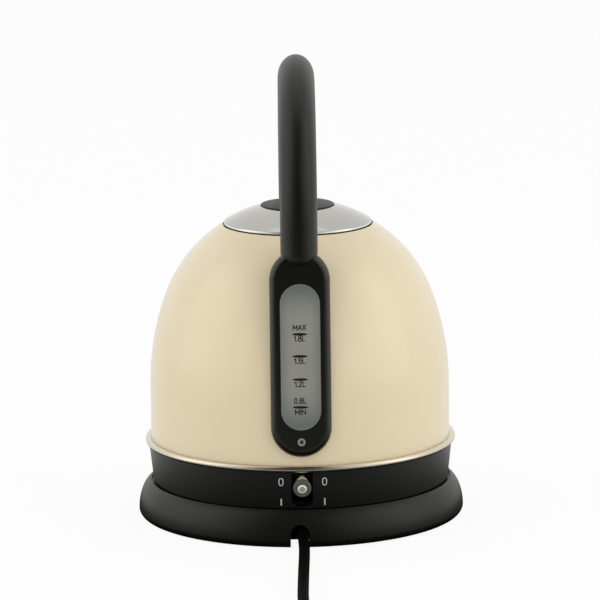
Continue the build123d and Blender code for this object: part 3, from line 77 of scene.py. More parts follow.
scene.view_settings.view_transform = "Standard"
camera_back = Vector(
    (
        math.sin(CAMERA_ROUND) * math.cos(CAMERA_UP),
        -math.cos(CAMERA_ROUND) * math.cos(CAMERA_UP),
        math.sin(CAMERA_UP),
    )
)
camera_right = Vector((math.cos(CAMERA_ROUND), math.sin(CAMERA_ROUND), 0.0))
camera_turn = Matrix((camera_right, camera_back.cross(camera_right), camera_back)).transposed().to_4x4()
camera_lens = bpy.data.cameras.new("photo_camera")
camera_lens.sensor_width = SENSOR
camera_lens.lens = SENSOR * CAMERA_DISTANCE / PICTURE_SPAN
camera = bpy.data.objects.new("photo_camera", camera_lens)
camera.matrix_world = (
    Matrix.Translation(CAMERA_AIM + camera_back * CAMERA_DISTANCE)
    @ camera_turn
    @ Matrix.Rotation(CAMERA_ROLL, 4, "Z")
)
scene.collection.objects.link(camera)
scene.camera = camera


def soft_box(name, place, size, power):
    """A rectangular soft box that faces the kettle."""
    lamp = bpy.data.lights.new(name, "AREA")
    lamp.shape = "RECTANGLE"
    lamp.size, lamp.size_y = size
    lamp.energy = power
    box = bpy.data.objects.new(name, lamp)
    facing = (CAMERA_AIM - place).to_track_quat("-Z", "Y").to_matrix().to_4x4()
    box.matrix_world = Matrix.Translation(place) @ facing
    scene.collection.objects.link(box)


soft_box("right_box", RIGHT_BOX_AT, SIDE_BOX_SIZE, RIGHT_BOX_POWER)
soft_box("left_box", LEFT_BOX_AT, SIDE_BOX_SIZE, LEFT_BOX_POWER)
soft_box("top_box", TOP_BOX_AT, TOP_BOX_SIZE, TOP_BOX_POWER)


class Wire:
    """A node's output, which sums and products can be written with."""

    def __init__(self, bench, socket):
        self.bench = bench
        self.socket = socket

    def __add__(self, other):
        return self.bench.maths("ADD", self, other)

    def __sub__(self, other):
        return self.bench.maths("SUBTRACT", self, other)

    def __mul__(self, other):
        return self.bench.maths("MULTIPLY", self, other)

    def __radd__(self, other):
        return self.bench.maths("ADD", other, self)

    def __rsub__(self, other):
        return self.bench.maths("SUBTRACT", other, self)

    def __rmul__(self, other):
        return self.bench.maths("MULTIPLY", other, self)


class Bench:
    """A node tree that is added to one node at a time."""

    def __init__(self, tree):
        self.tree = tree

    def feed(self, socket, value):
        """Set a socket to a value, or link a wire to it."""
        if isinstance(value, Wire):
            self.tree.links.new(value.socket, socket)
        else:
            socket.default_value = value

    def add(self, kind, settings, sockets, output=0):
        """Add a node with its settings and what feeds its sockets, and give the wire of one output."""
        node = self.tree.nodes.new(kind)
        for name, value in settings.items():
            setattr(node, name, value)
        for key, value in sockets.items():
            self.feed(node.inputs[key], value)
        return Wire(self, node.outputs[output])

    def maths(self, operation, first, second=0.0):
        """One step of arithmetic."""
        return self.add("ShaderNodeMath", {"operation": operation}, {0: first, 1: second})

    def ramp(self, value, low, high):
        """A smooth rise from 0 to 1 between two values."""
        return self.add(
            "ShaderNodeMapRange",
            {"interpolation_type": "SMOOTHSTEP"},
            {"Value": value, "From Min": low, "From Max": high},
        )

    def part(self, vector, axis):
        """One coordinate of a vector."""
        return self.add("ShaderNodeSeparateXYZ", {}, {"Vector": vector}, axis)

    def length(self, vector):
        """How long a vector is."""
        return self.add("ShaderNodeVectorMath", {"operation": "LENGTH"}, {0: vector}, "Value")

    def sight(self):
        """Whether a ray is the camera's, and whether it comes off gloss or through glass."""
        seen = self.add("ShaderNodeLightPath", {}, {}, "Is Camera Ray")
        glossy = self.add("ShaderNodeLightPath", {}, {}, "Is Glossy Ray")
        through = self.add("ShaderNodeLightPath", {}, {}, "Is Transmission Ray")
        return seen, self.maths("MAXIMUM", glossy, through)


world = bpy.data.worlds.new("studio_surround")
world.use_nodes = True
scene.world = world
surround = Bench(world.node_tree)
seen, mirrored = surround.sight()
outlook = surround.add("ShaderNodeTexCoord", {}, {}, "Generated")
outlook_x = surround.part(outlook, "X")
outlook_y = surround.part(outlook, "Y")
outlook_flat = surround.maths("SQRT", outlook_x * outlook_x + outlook_y * outlook_y)
towards = surround.maths("DIVIDE", 0.0 - outlook_y, surround.maths("MAXIMUM", outlook_flat, LEAST_FLAT))
dark_side = surround.ramp(towards, DARK_FROM, DARK_TO)
reflected = 1.0 - (1.0 - DARK_SIDE) * dark_side
surround_level = seen + mirrored * reflected + (1.0 - seen - mirrored) * AMBIENT
background = world.node_tree.nodes["Background"]
background.inputs["Color"].default_value = WHITE
surround.feed(background.inputs["Strength"], surround_level)

table_mesh = bpy.data.meshes.new("table")
table_points = [(x * TABLE_HALF, y * TABLE_HALF, 0.0) for x, y in TABLE_CORNERS]
table_mesh.from_pydata(table_points, [], [(0, 1, 2, 3)])
table = bpy.data.objects.new("table", table_mesh)
scene.collection.objects.link(table)
table_finish = bpy.data.materials.new("table_white")
table_finish.use_nodes = True
table_bench = Bench(table_finish.node_tree)
table_shader = table_finish.node_tree.nodes["Principled BSDF"]
table_shader.inputs["Base Color"].default_value = TABLE_COLOUR
table_shader.inputs["Roughness"].default_value = TABLE_ROUGHNESS
table_seen, table_mirrored = table_bench.sight()
table_place = table_bench.add("ShaderNodeTexCoord", {}, {}, "Object")
table_reach = table_bench.length(table_place)
table_ahead = 0.0 - table_bench.part(table_place, "Y")
table_towards = table_bench.maths("DIVIDE", table_ahead, table_reach + LEAST_FLAT)
table_dark = table_bench.ramp(table_towards, DARK_FROM, DARK_TO)
table_front = TABLE_FRONT - (TABLE_FRONT - TABLE_FRONT_FAR) * table_bench.ramp(table_reach, *TABLE_FADES)
table_reflected = TABLE_LIT - table_dark * (TABLE_LIT - table_front)
# In reflections the table is dark near the kettle, a painted shadow, and darker towards the camera's side.
table_painted_shadow = table_bench.ramp(table_reach, *TABLE_SHADED)
table_level = table_seen + table_mirrored * table_painted_shadow * table_reflected
table_glow = table_bench.add("ShaderNodeEmission", {}, {"Color": WHITE, "Strength": table_level})
table_share = table_seen * TABLE_WHITE + table_mirrored
table_plain = Wire(table_bench, table_shader.outputs[0])
table_mix = table_bench.add("ShaderNodeMixShader", {}, {0: table_share, 1: table_plain, 2: table_glow})
table_bench.feed(table_finish.node_tree.nodes["Material Output"].inputs["Surface"], table_mix)
table_mesh.materials.append(table_finish)


# Mains cord: round flexible lead with a soft black sheath.
# It comes out of the notch in the base, drops to the table and ends in a small coil put away in front.
CORD_D = 6.4
CORD_ROUTE = [
    (0.0, -84.0, 8.8),
    (0.0, -98.0, 8.8),
    (0.7, -114.0, 6.4),
    (0.4, -133.0, 3.9),
    (-0.2, -156.0, 3.3),
    (-0.8, -188.0, 3.3),
    (-1.4, -224.0, 3.4),
    (-0.2, -258.0, 3.7),
    (3.5, -288.0, 4.5),
    (3.5, -315.6, 4.5),
]
CORD_ROUND_STEPS = 5
CORD_LINE_STEPS = 8
COIL_Y = -322.0
COIL_START_X = 3.5
COIL_Z = 4.5
COIL_RADII = [36.5, 33.0, 29.5, 33.0]
COIL_CLIMB = {2: 7.0}
COIL_STEPS = 8
PLUG_ENTRY = 3.0
SHEATH_BLACK = (4, 4, 3)
SHEATH_WORN = (7, 7, 6)
SHEATH_SPECULAR = 0.03
SATIN_SPECULAR = 0.45
SATIN_TINT = (1.0, 1.0, 0.86, 1.0)
CLOUD_SIZE = 0.02
CLOUD_SHARE = 0.6
GLOSS_SWING = 0.06


def paint(red, green, blue):
    """A colour as it is written in a picture, made linear."""
    levels = [level / 255 for level in (red, green, blue)]
    linear = [v / 12.92 if v <= 0.04045 else ((v + 0.055) / 1.055) ** 2.4 for v in levels]
    return (*linear, 1.0)


class Finish(Bench):
    """A surface finish: one shader, with patterns laid on the piece's own coordinates."""

    def __init__(self, name, constants):
        self.material = bpy.data.materials.new(name)
        self.material.use_nodes = True
        super().__init__(self.material.node_tree)
        self.shader = self.tree.nodes["Principled BSDF"]
        self.place = self.add("ShaderNodeTexCoord", {}, {}, "Object")
        for socket, value in constants.items():
            self.coat(socket, value)

    def coat(self, socket, value):
        """Feed one socket of the shader."""
        self.feed(self.shader.inputs[socket], value)

    def grain(self, size, detail=2.0, stretch=None):
        """Cloudy noise of about a size in metres, drawn out along the axes by a stretch."""
        where = self.place
        if stretch:
            where = self.add("ShaderNodeVectorMath", {"operation": "DIVIDE"}, {0: where, 1: stretch})
        return self.add("ShaderNodeTexNoise", {}, {"Vector": where, "Scale": 1.0 / size, "Detail": detail})

    def tint(self, factor, first, second):
        """A colour between two."""
        return self.add("ShaderNodeMix", {"data_type": "RGBA"}, {0: factor, 6: first, 7: second}, 2)

    def colours(self, factor, first, second):
        """The surface's colour, between two that are written as in a picture."""
        self.coat("Base Color", self.tint(factor, paint(*first), paint(*second)))

    def gloss(self, least, spread, pattern):
        """Roughness that rises from the least by a spread where the pattern is high."""
        self.coat("Roughness", least + spread * pattern)

    def relief(self, height, depth):
        """Raise the surface by a pattern, up to a depth in metres."""
        self.coat("Normal", self.add("ShaderNodeBump", {}, {"Distance": depth, "Height": height}))


def moulded(name, dark, light, roughness, grain_size, grain_depth, specular=SATIN_SPECULAR):
    """Moulded plastic or rubber: an even fine grain, with faint clouds in its colour and its gloss."""
    finish = Finish(name, {"Specular IOR Level": specular, "Specular Tint": SATIN_TINT})
    clouds = finish.grain(CLOUD_SIZE)
    grain = finish.grain(grain_size)
    finish.colours(clouds * CLOUD_SHARE + grain * (1 - CLOUD_SHARE), dark, light)
    finish.gloss(roughness - GLOSS_SWING, 2 * GLOSS_SWING, grain)
    finish.relief(grain, grain_depth)
    return finish


def round_bar(name, radius, round_steps, line_steps):
    """A curve that shows as a round bar, ready for its lines."""
    bar = bpy.data.curves.new(name, "CURVE")
    bar.dimensions = "3D"
    bar.bevel_depth = radius
    bar.bevel_resolution = round_steps
    bar.resolution_u = line_steps
    bar.use_fill_caps = True
    return bar


def draw_line(curve, kind, places):
    """Add a line through or along some places to a curve."""
    line = curve.splines.new(kind)
    line.points.add(len(places) - 1)
    for point, place in zip(line.points, places):
        point.co = (*place, 1.0)
    return line


sheath = moulded(
    "cord_sheath_pvc",
    SHEATH_BLACK,
    SHEATH_WORN,
    roughness=0.6,
    grain_size=0.0005,
    grain_depth=0.000006,
    specular=SHEATH_SPECULAR,
)
coil_points = []
half_turn_x, half_turn_z = COIL_START_X, COIL_Z
for index, radius in enumerate(COIL_RADII):
    side = 1 if index % 2 == 0 else -1
    climb = COIL_CLIMB.get(index, 0.0)
    half_span = math.sqrt(radius**2 - (climb / 2) ** 2)
    centre_x = half_turn_x + side * half_span
    for step in range(COIL_STEPS):
        angle = (step + 0.5) * math.pi / COIL_STEPS
        reach = side / math.cos(math.pi / COIL_STEPS / 2)
        coil_points.append(
            (
                centre_x - reach * half_span * math.cos(angle),
                COIL_Y - reach * radius * math.sin(angle),
                half_turn_z + climb * (1 - math.cos(angle)) / 2,
            )
        )
    half_turn_x += side * 2 * half_span
    half_turn_z += climb
plug_arm_start = Vector((half_turn_x, COIL_Y - CORD_D, half_turn_z))
plug_entry = plug_arm_start - Vector((0, PLUG_ENTRY, 0))
cord_points = [*CORD_ROUTE, *coil_points, tuple(plug_arm_start), tuple(plug_entry)]
cord_line = round_bar("mains_lead", CORD_D / 2 * MM, CORD_ROUND_STEPS, CORD_LINE_STEPS)
cord_spline = draw_line(cord_line, "NURBS", [Vector(place) * MM for place in cord_points])
cord_spline.order_u = 3
cord_spline.use_endpoint_u = True
cord_line.materials.append(sheath.material)
mains_lead = bpy.data.objects.new("mains_lead", cord_line)
scene.collection.objects.link(mains_lead)
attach(mains_lead, "power_base")
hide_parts("mains_cord", "cord_coil")


# Plug and tie: an earthed plug moulded on to the lead, with ribs where the lead goes in.
# Its pins and side clips are plated brass, and a wire tie in a flat plastic strip holds the coil.
PLUG_BLACK = (15, 14, 13)
PLUG_WORN = (22, 21, 20)
PLATED = (186, 180, 168)
RIB_COUNT = 7
RIB_FIRST = 3.0
RIB_PITCH = 3.1
RIB_START_R = 3.45
RIB_GROWTH = 0.3
RIB_THICK = 0.55
RIB_STEPS = 40
RIB_ROUND_STEPS = 10
TIE_BLACK = (24, 23, 22)
TIE_WORN = (34, 33, 31)
TIE_HALF_Y = 4.35
TIE_LOW_Z = 0.5
TIE_HIGH_Z = 15.5
TIE_Y = -289.25
TIE_X = 40.0
TIE_WIDTH = 5.0
TIE_ROUND = 3.4
TIE_CORNER_STEPS = 6
TIE_EDGE_STEPS = 2
TIE_THICK = 0.8
TAIL_LENGTH = 11.0
TAIL_RISE = 1.5
TAIL_TURNS = 2.5
TAIL_STEPS = 30
TAIL_R = 0.55
TAIL_SWING = TAIL_R * 1.05
TAIL_ROUND_STEPS = 2
TAIL_LINE_STEPS = 12


def link_mesh(name, mesh, finish):
    """Put a finished mesh in the scene as a piece at the origin."""
    mesh.name = name
    if finish:
        mesh.materials.clear()
        mesh.materials.append(finish.material)
    piece = bpy.data.objects.new(name, mesh)
    scene.collection.objects.link(piece)
    return piece


def baked(source):
    """The mesh that an object's modifiers or curve give, taken from the object, which then goes."""
    bpy.context.view_layer.update()
    mesh = bpy.data.meshes.new_from_object(source.evaluated_get(bpy.context.evaluated_depsgraph_get()))
    bpy.data.objects.remove(source)
    return mesh


def mesh_of(curve):
    """The plain mesh of a finished curve."""
    holder = bpy.data.objects.new(curve.name, curve)
    scene.collection.objects.link(holder)
    return baked(holder)


class Jig(Bench):
    """A Geometry Nodes tree with named sizes, which sets one shape on every point of a start mesh."""

    def __init__(self, name, sizes):
        super().__init__(bpy.data.node_groups.new(name, "GeometryNodeTree"))
        self.tree.interface.new_socket("Geometry", in_out="INPUT", socket_type="NodeSocketGeometry")
        self.tree.interface.new_socket("Geometry", in_out="OUTPUT", socket_type="NodeSocketGeometry")
        self.sizes = {}
        for size, kind in sizes.items():
            socket = self.tree.interface.new_socket(size, in_out="INPUT", socket_type="NodeSocket" + kind)
            self.sizes[size] = socket.identifier
        self.entry = self.tree.nodes.new("NodeGroupInput")

    def size(self, name):
        """The wire of a named input."""
        return Wire(self, self.entry.outputs[name])

    def close(self, shape, rotation, scale=(1.0, 1.0, 1.0)):
        """End the tree: the shape on each point, made real, in the finish that the input names."""
        spread = self.add(
            "GeometryNodeInstanceOnPoints",
            {},
            {"Points": self.size("Geometry"), "Instance": shape, "Rotation": rotation, "Scale": scale},
        )
        real = self.add("GeometryNodeRealizeInstances", {}, {"Geometry": spread})
        finish = self.size("Finish")
        dressed = self.add("GeometryNodeSetMaterial", {}, {"Geometry": real, "Material": finish})
        leave = self.tree.nodes.new("NodeGroupOutput")
        self.feed(leave.inputs["Geometry"], dressed)

    def make(self, name, points, values, vectors=None):
        """Run the tree on loose points, with its sizes set, and give the finished piece."""
        start = bpy.data.meshes.new(name)
        start.from_pydata([tuple(Vector(p) * MM) for p in points], [], [])
        if vectors:
            axis = start.attributes.new("axis", "FLOAT_VECTOR", "POINT")
            for entry, vector in zip(axis.data, vectors):
                entry.vector = vector
        holder = bpy.data.objects.new(name, start)
        scene.collection.objects.link(holder)
        step = holder.modifiers.new(name, "NODES")
        step.node_group = self.tree
        for size, value in values.items():
            step[self.sizes[size]] = value
        return link_mesh(name, baked(holder), None)


rib_sizes = {"Start radius": "Float", "Growth": "Float", "Thickness": "Float", "Finish": "Material"}
rib_jig = Jig("strain_ribs", rib_sizes)
rib_line = rib_jig.add("GeometryNodeCurvePrimitiveCircle", {}, {"Resolution": RIB_STEPS, "Radius": 1.0})
rib_section = rib_jig.add(
    "GeometryNodeCurvePrimitiveCircle",
    {},
    {"Resolution": RIB_ROUND_STEPS, "Radius": rib_jig.size("Thickness")},
)
rib_ring = rib_jig.add("GeometryNodeCurveToMesh", {}, {"Curve": rib_line, "Profile Curve": rib_section})
rib_number = rib_jig.add("GeometryNodeInputIndex", {}, {})
rib_radius = rib_jig.size("Start radius") + rib_number * rib_jig.size("Growth")
rib_jig.close(rib_ring, rotation=(math.pi / 2, 0.0, 0.0), scale=rib_radius)
plug_rubber = moulded(
    "plug_moulding", PLUG_BLACK, PLUG_WORN, roughness=0.42, grain_size=0.0009, grain_depth=0.00003
)
plug_ribs = rib_jig.make(
    "plug_ribs",
    [plug_arm_start - Vector((0, RIB_FIRST + i * RIB_PITCH, 0)) for i in range(RIB_COUNT)],
    {
        "Start radius": RIB_START_R * MM,
        "Growth": RIB_GROWTH * MM,
        "Thickness": RIB_THICK / RIB_START_R,
        "Finish": plug_rubber.material,
    },
)
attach(plug_ribs, "power_base")


def dress(finish, *names):
    """Give CAD pieces a finish."""
    for name in names:
        nodes[name].material_slots[0].material = finish.material


dress(plug_rubber, "plug_body")
plated = Finish("plated_brass", {"Base Color": paint(*PLATED), "Metallic": 1.0})
plated_rub = plated.grain(size=0.0008, detail=3.0, stretch=(1.0, 1.0, 12.0))
plated.gloss(least=0.16, spread=0.22, pattern=plated_rub)
plated.relief(plated_rub, depth=0.000006)
dress(plated, "plug_pins", "plug_earth_clips")

tie_curve = bpy.data.curves.new("coil_tie", "CURVE")
tie_curve.dimensions = "3D"
tie_curve.extrude = (TIE_WIDTH - TIE_THICK) / 2 * MM
tie_curve.bevel_depth = TIE_THICK / 2 * MM
tie_curve.bevel_resolution = TIE_EDGE_STEPS
tie_mid_z = (TIE_LOW_Z + TIE_HIGH_Z) / 2
tie_half_z = (TIE_HIGH_Z - TIE_LOW_Z) / 2
tie_loop = []
for corner in range(4):
    corner_y = (TIE_HALF_Y - TIE_ROUND) * (1 if corner in (0, 3) else -1)
    corner_z = (tie_half_z - TIE_ROUND) * (1 if corner in (0, 1) else -1)
    for step in range(TIE_CORNER_STEPS + 1):
        angle = (corner + step / TIE_CORNER_STEPS) * math.pi / 2
        across = corner_y + TIE_ROUND * math.cos(angle)
        high = corner_z + TIE_ROUND * math.sin(angle)
        tie_loop.append((across * MM, high * MM, 0.0))
tie_spline = draw_line(tie_curve, "POLY", tie_loop)
tie_spline.use_cyclic_u = True
tie_mesh = mesh_of(tie_curve)
tie_stand = Matrix(((0, 0, 1, 0), (1, 0, 0, 0), (0, 1, 0, 0), (0, 0, 0, 1)))
tie_mesh.transform(Matrix.Translation(Vector((TIE_X, TIE_Y, tie_mid_z)) * MM) @ tie_stand)
tie_strip = moulded(
    "tie_strip", TIE_BLACK, TIE_WORN, roughness=0.4, grain_size=0.0007, grain_depth=0.00002
)
coil_tie = link_mesh("coil_tie", tie_mesh, tie_strip)
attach(coil_tie, "power_base")
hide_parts("cord_tie")

tail_curve = round_bar("tie_tail", TAIL_R * MM, TAIL_ROUND_STEPS, TAIL_LINE_STEPS)
for strand in range(2):
    tail_points = []
    for step in range(TAIL_STEPS + 1):
        travel = step / TAIL_STEPS
        angle = math.pi * strand + 2 * math.pi * TAIL_TURNS * travel
        tail_x = TIE_X + TAIL_SWING * math.cos(angle)
        tail_y = TIE_Y + TIE_HALF_Y + TAIL_LENGTH * travel
        tail_z = tie_mid_z + TAIL_RISE * travel + TAIL_SWING * math.sin(angle)
        tail_points.append((tail_x * MM, tail_y * MM, tail_z * MM))
    tail_spline = draw_line(tail_curve, "NURBS", tail_points)
    tail_spline.order_u = 3
    tail_spline.use_endpoint_u = True
tie_tail = link_mesh("tie_tail", mesh_of(tail_curve), tie_strip)
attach(tie_tail, "power_base")


# Power base: a flared cover and a flat plate moulded in matt black plastic, screwed together from below.
# Four rubber feet stand under it, and the round socket with brass contacts rises through its top.
BASE_BLACK = (9, 9, 7)
BASE_WORN = (14, 14, 11)
BASE_SPECULAR = 0.36
RUBBER_BLACK = (34, 34, 34)
RUBBER_WORN = (46, 45, 44)
NYLON_BLACK = (30, 30, 31)
NYLON_WORN = (40, 40, 41)
BRASS = (196, 160, 88)
BRASS_DULL = (150, 118, 64)
SCREW_STEEL = (176, 168, 152)
SCREW_DARK = (120, 113, 100)
SCREW_HEAD_R = 2.8
SCREW_HEAD_H = 1.0
SCREW_SHANK_R = 1.5
SCREW_SHANK = 11.0
SCREW_CROWN = 0.35
CROWN_TURNS = (0.5, 0.9, 1.2)
SCREW_TURN_STEPS = 40
SCREW_SHARP = math.radians(30)
CROSS_ARM = 0.62
CROSS_HALF = 0.13
CROSS_DEPTH = 0.55
CROSS_TAPER = 0.72
BASE_SCREW_CIRCLE = 66.0
BASE_SCREW_ANGLES = (90.0, 210.0, 330.0)
BASE_SCREW_Z = 1.6
DOWN = (0.0, 0.0, -1.0)

base_plastic = moulded(
    "base_plastic",
    BASE_BLACK,
    BASE_WORN,
    roughness=0.42,
    grain_size=0.0007,
    grain_depth=0.00004,
    specular=BASE_SPECULAR,
)
dress(base_plastic, "base_cover", "base_plate")
soft_rubber = moulded(
    "soft_rubber", RUBBER_BLACK, RUBBER_WORN, roughness=0.75, grain_size=0.0006, grain_depth=0.00006
)
dress(soft_rubber, "base_feet")
inner_nylon = moulded(
    "inner_nylon", NYLON_BLACK, NYLON_WORN, roughness=0.38, grain_size=0.0008, grain_depth=0.00002
)
dress(inner_nylon, "base_socket", "cord_clamp")
grommet_rubber = moulded(
    "grommet_rubber", SHEATH_BLACK, SHEATH_WORN, roughness=0.55, grain_size=0.0007, grain_depth=0.00004
)
dress(grommet_rubber, "cord_grommet")
brass = Finish("contact_brass", {"Metallic": 1.0})
brass_tarnish = brass.grain(size=0.004, detail=4.0)
brass_rub = brass.grain(size=0.0006, stretch=(1.0, 1.0, 10.0))
brass.colours(brass.ramp(brass_tarnish, low=0.4, high=0.7), BRASS, BRASS_DULL)
brass.gloss(least=0.2, spread=0.25, pattern=brass_rub)
dress(brass, "socket_contacts", "earth_clip")
screw_steel = Finish("screw_steel", {"Metallic": 1.0})
screw_rub = screw_steel.grain(size=0.0009, detail=3.0)
screw_steel.colours(screw_rub, SCREW_DARK, SCREW_STEEL)
screw_steel.gloss(least=0.22, spread=0.2, pattern=screw_rub)
screw_steel.relief(screw_rub, depth=0.00002)
dress(screw_steel, "clamp_screws")


def skin(shape, rings):
    """Close the bands between rings of points, and turn all faces outwards."""
    for low, high in zip(rings, rings[1:]):
        for i in range(len(low)):
            j = (i + 1) % len(low)
            corners = dict.fromkeys([low[i], low[j], high[j], high[i]])
            shape.faces.new(list(corners))
    bmesh.ops.recalc_face_normals(shape, faces=shape.faces)


def cast(name, shape):
    """A plain mesh of a finished bmesh, which then goes."""
    mesh = bpy.data.meshes.new(name)
    shape.to_mesh(mesh)
    shape.free()
    return mesh


def turned_mesh(name, outline, steps):
    """A closed mesh turned about Z from (radius, height) points that start and end on the axis."""
    shape = bmesh.new()
    angles = [2 * math.pi * i / steps for i in range(steps)]
    rings = []
    for radius, height in outline:
        if radius == 0:
            rings.append([shape.verts.new((0, 0, height))] * steps)
        else:
            circle = [(radius * math.cos(a), radius * math.sin(a), height) for a in angles]
            rings.append([shape.verts.new(place) for place in circle])
    skin(shape, rings)
    return cast(name, shape)


def cross_screw(name, head_r, head_h, shank_r, shank):
    """A pan-head screw along Z, with a cross in its head and the head's underside at zero."""
    outline = [
        (0, head_h),
        *[(head_r * math.sin(t), head_h + SCREW_CROWN * (math.cos(t) - 1)) for t in CROWN_TURNS],
        (head_r, head_h - SCREW_CROWN),
        (head_r, 0.0),
        (shank_r, 0.0),
        (shank_r, -shank + shank_r),
        (0, -shank),
    ]
    arm = head_r * CROSS_ARM
    half = head_r * CROSS_HALF
    cross = [
        (half, half), (half, arm), (-half, arm), (-half, half), (-arm, half), (-arm, -half),
        (-half, -half), (-half, -arm), (half, -arm), (half, -half), (arm, -half), (arm, half),
    ]
    cutter = bmesh.new()
    top = [cutter.verts.new((x, y, head_h * 2)) for x, y in cross]
    floor_z = head_h * (1 - CROSS_DEPTH)
    low = [cutter.verts.new((x * CROSS_TAPER, y * CROSS_TAPER, floor_z)) for x, y in cross]
    cutter.faces.new(top)
    cutter.faces.new(low)
    skin(cutter, [top, low])
    cross_bit = link_mesh(name + "_cross", cast(name, cutter), None)
    blank = link_mesh(name, turned_mesh(name, outline, SCREW_TURN_STEPS), None)
    cut = blank.modifiers.new("cross", "BOOLEAN")
    cut.object = cross_bit
    cut.solver = "EXACT"
    mesh = baked(blank)
    bpy.data.objects.remove(cross_bit)
    mesh.transform(Matrix.Scale(MM, 4))
    mesh.shade_smooth()
    mesh.set_sharp_from_angle(angle=SCREW_SHARP)
    return mesh


screw_jig = Jig("screws_in_place", {"Screw": "Object", "Finish": "Material"})
screw_shape = screw_jig.add("GeometryNodeObjectInfo", {}, {"Object": screw_jig.size("Screw")}, "Geometry")
screw_axis = screw_jig.add(
    "GeometryNodeInputNamedAttribute", {"data_type": "FLOAT_VECTOR"}, {"Name": "axis"}
)
screw_turn = screw_jig.add("FunctionNodeAlignRotationToVector", {"axis": "Z"}, {"Vector": screw_axis})
screw_jig.close(screw_shape, rotation=screw_turn)


def set_screws(name, screw_mesh, heads, axis, body, node, finish=screw_steel):
    """Place screws by the underside of their heads, with the heads facing along an axis."""
    pattern = link_mesh(name + "_pattern", screw_mesh, None)
    screws = screw_jig.make(
        name, heads, {"Screw": pattern, "Finish": finish.material}, [axis] * len(heads)
    )
    bpy.data.objects.remove(pattern)
    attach(screws, body)
    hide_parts(node)


def round_axis(circle, angles, height):
    """Places on a circle about the kettle's axis, at angles in degrees."""
    turns = [math.radians(degrees) for degrees in angles]
    return [(circle * math.cos(turn), circle * math.sin(turn), height) for turn in turns]


base_screw_mesh = cross_screw("base_screw", SCREW_HEAD_R, SCREW_HEAD_H, SCREW_SHANK_R, SCREW_SHANK)
base_screw_heads = round_axis(BASE_SCREW_CIRCLE, BASE_SCREW_ANGLES, BASE_SCREW_Z + SCREW_HEAD_H)
set_screws("base_plate_screws", base_screw_mesh, base_screw_heads, DOWN, "power_base", "base_screws")


# Kettle skirt: a moulded tub in satin black plastic under the dome, screwed up to the heater plate.
# The slot for the switch is open at the front, with pad-printed marks on both sides of it.
SKIRT_BLACK = (7, 7, 6)
SKIRT_WORN = (11, 11, 9)
HOUSING_SCREW_CIRCLE = 60.0
HOUSING_SCREW_ANGLES = (45.0, 135.0, 225.0, 315.0)
HOUSING_SCREW_Z = 22.3
HOUSING_HEAD_H = 2.0
HOUSING_SHANK = 22.0
SKIRT_LOW_R = 87.6
SKIRT_LOW_Z = 22.3
SKIRT_SLOPE = 2.4 / 21.8
MARK_XS = (-12.2, 13.0)
MARK_COLOUR = (168, 186, 188)
MARK_WORN = (140, 156, 158)
MARK_LIFT = 0.08
PRINT_T = 0.06
PEN_ROUND_STEPS = 2
PEN_LINE_STEPS = 6
# A mark's sign, its height on the skirt, its width, its own height and its pen
OFF_MARK = ("0", 38.4, 2.95, 4.9, 0.62)
ON_MARK = ("I", 26.2, 0.85, 4.2, 0.85)
# Letters stand on a field one high: a letter's width, then its strokes, each with its kind and points.
# A stroke's kind is the order of its spline and whether it closes.
LINE = (2, False)
SQUARE = (2, True)
BEND = (3, False)
LOOP = (3, True)
LETTER_GAP = 0.29
LETTERS = {
    ".": (0.06, [(SQUARE, [(0.0, 0.0), (0.06, 0.0), (0.06, 0.06), (0.0, 0.06)])]),
    "0": (0.5, [
        (LOOP, [(0.0, 0.3), (0.0, 0.7), (0.08, 1.0), (0.42, 1.0),
                (0.5, 0.7), (0.5, 0.3), (0.42, 0.0), (0.08, 0.0)]),
    ]),
    "1": (0.24, [(LINE, [(0.0, 0.76), (0.24, 1.0), (0.24, 0.0)])]),
    "2": (0.5, [
        (BEND, [(0.0, 0.74), (0.0, 1.03), (0.5, 1.06), (0.5, 0.62), (0.2, 0.36), (0.0, 0.0)]),
        (LINE, [(0.0, 0.0), (0.5, 0.0)]),
    ]),
    "5": (0.5, [
        (LINE, [(0.46, 1.0), (0.06, 1.0), (0.03, 0.52)]),
        (BEND, [(0.03, 0.52), (0.18, 0.66), (0.5, 0.7), (0.5, 0.0), (0.1, -0.08), (0.0, 0.2)]),
    ]),
    "8": (0.5, [
        (LOOP, [(0.03, 0.5), (0.03, 1.06), (0.47, 1.06), (0.47, 0.5)]),
        (LOOP, [(-0.03, -0.08), (-0.03, 0.6), (0.53, 0.6), (0.53, -0.08)]),
    ]),
    "A": (0.7, [
        (LINE, [(0.0, 0.0), (0.35, 1.0), (0.7, 0.0)]),
        (LINE, [(0.13, 0.34), (0.57, 0.34)]),
    ]),
    "I": (0.0, [(LINE, [(0.0, 0.0), (0.0, 1.0)])]),
    "L": (0.44, [(LINE, [(0.0, 1.0), (0.0, 0.0), (0.44, 0.0)])]),
    "M": (0.84, [(LINE, [(0.0, 0.0), (0.0, 1.0), (0.42, 0.18), (0.84, 1.0), (0.84, 0.0)])]),
    "N": (0.7, [(LINE, [(0.0, 0.0), (0.0, 1.0), (0.7, 0.0), (0.7, 1.0)])]),
    "X": (0.68, [(LINE, [(0.0, 0.0), (0.68, 1.0)]), (LINE, [(0.0, 1.0), (0.68, 0.0)])]),
}

skirt_plastic = moulded(
    "skirt_plastic", SKIRT_BLACK, SKIRT_WORN, roughness=0.34, grain_size=0.0006, grain_depth=0.00003
)
dress(skirt_plastic, "lower_housing")
skirt_screw_mesh = cross_screw("skirt_screw", SCREW_HEAD_R, HOUSING_HEAD_H, SCREW_SHANK_R, HOUSING_SHANK)
skirt_screw_heads = round_axis(
    HOUSING_SCREW_CIRCLE, HOUSING_SCREW_ANGLES, HOUSING_SCREW_Z + HOUSING_HEAD_H
)
set_screws("skirt_screws", skirt_screw_mesh, skirt_screw_heads, DOWN, "kettle", "housing_screws")


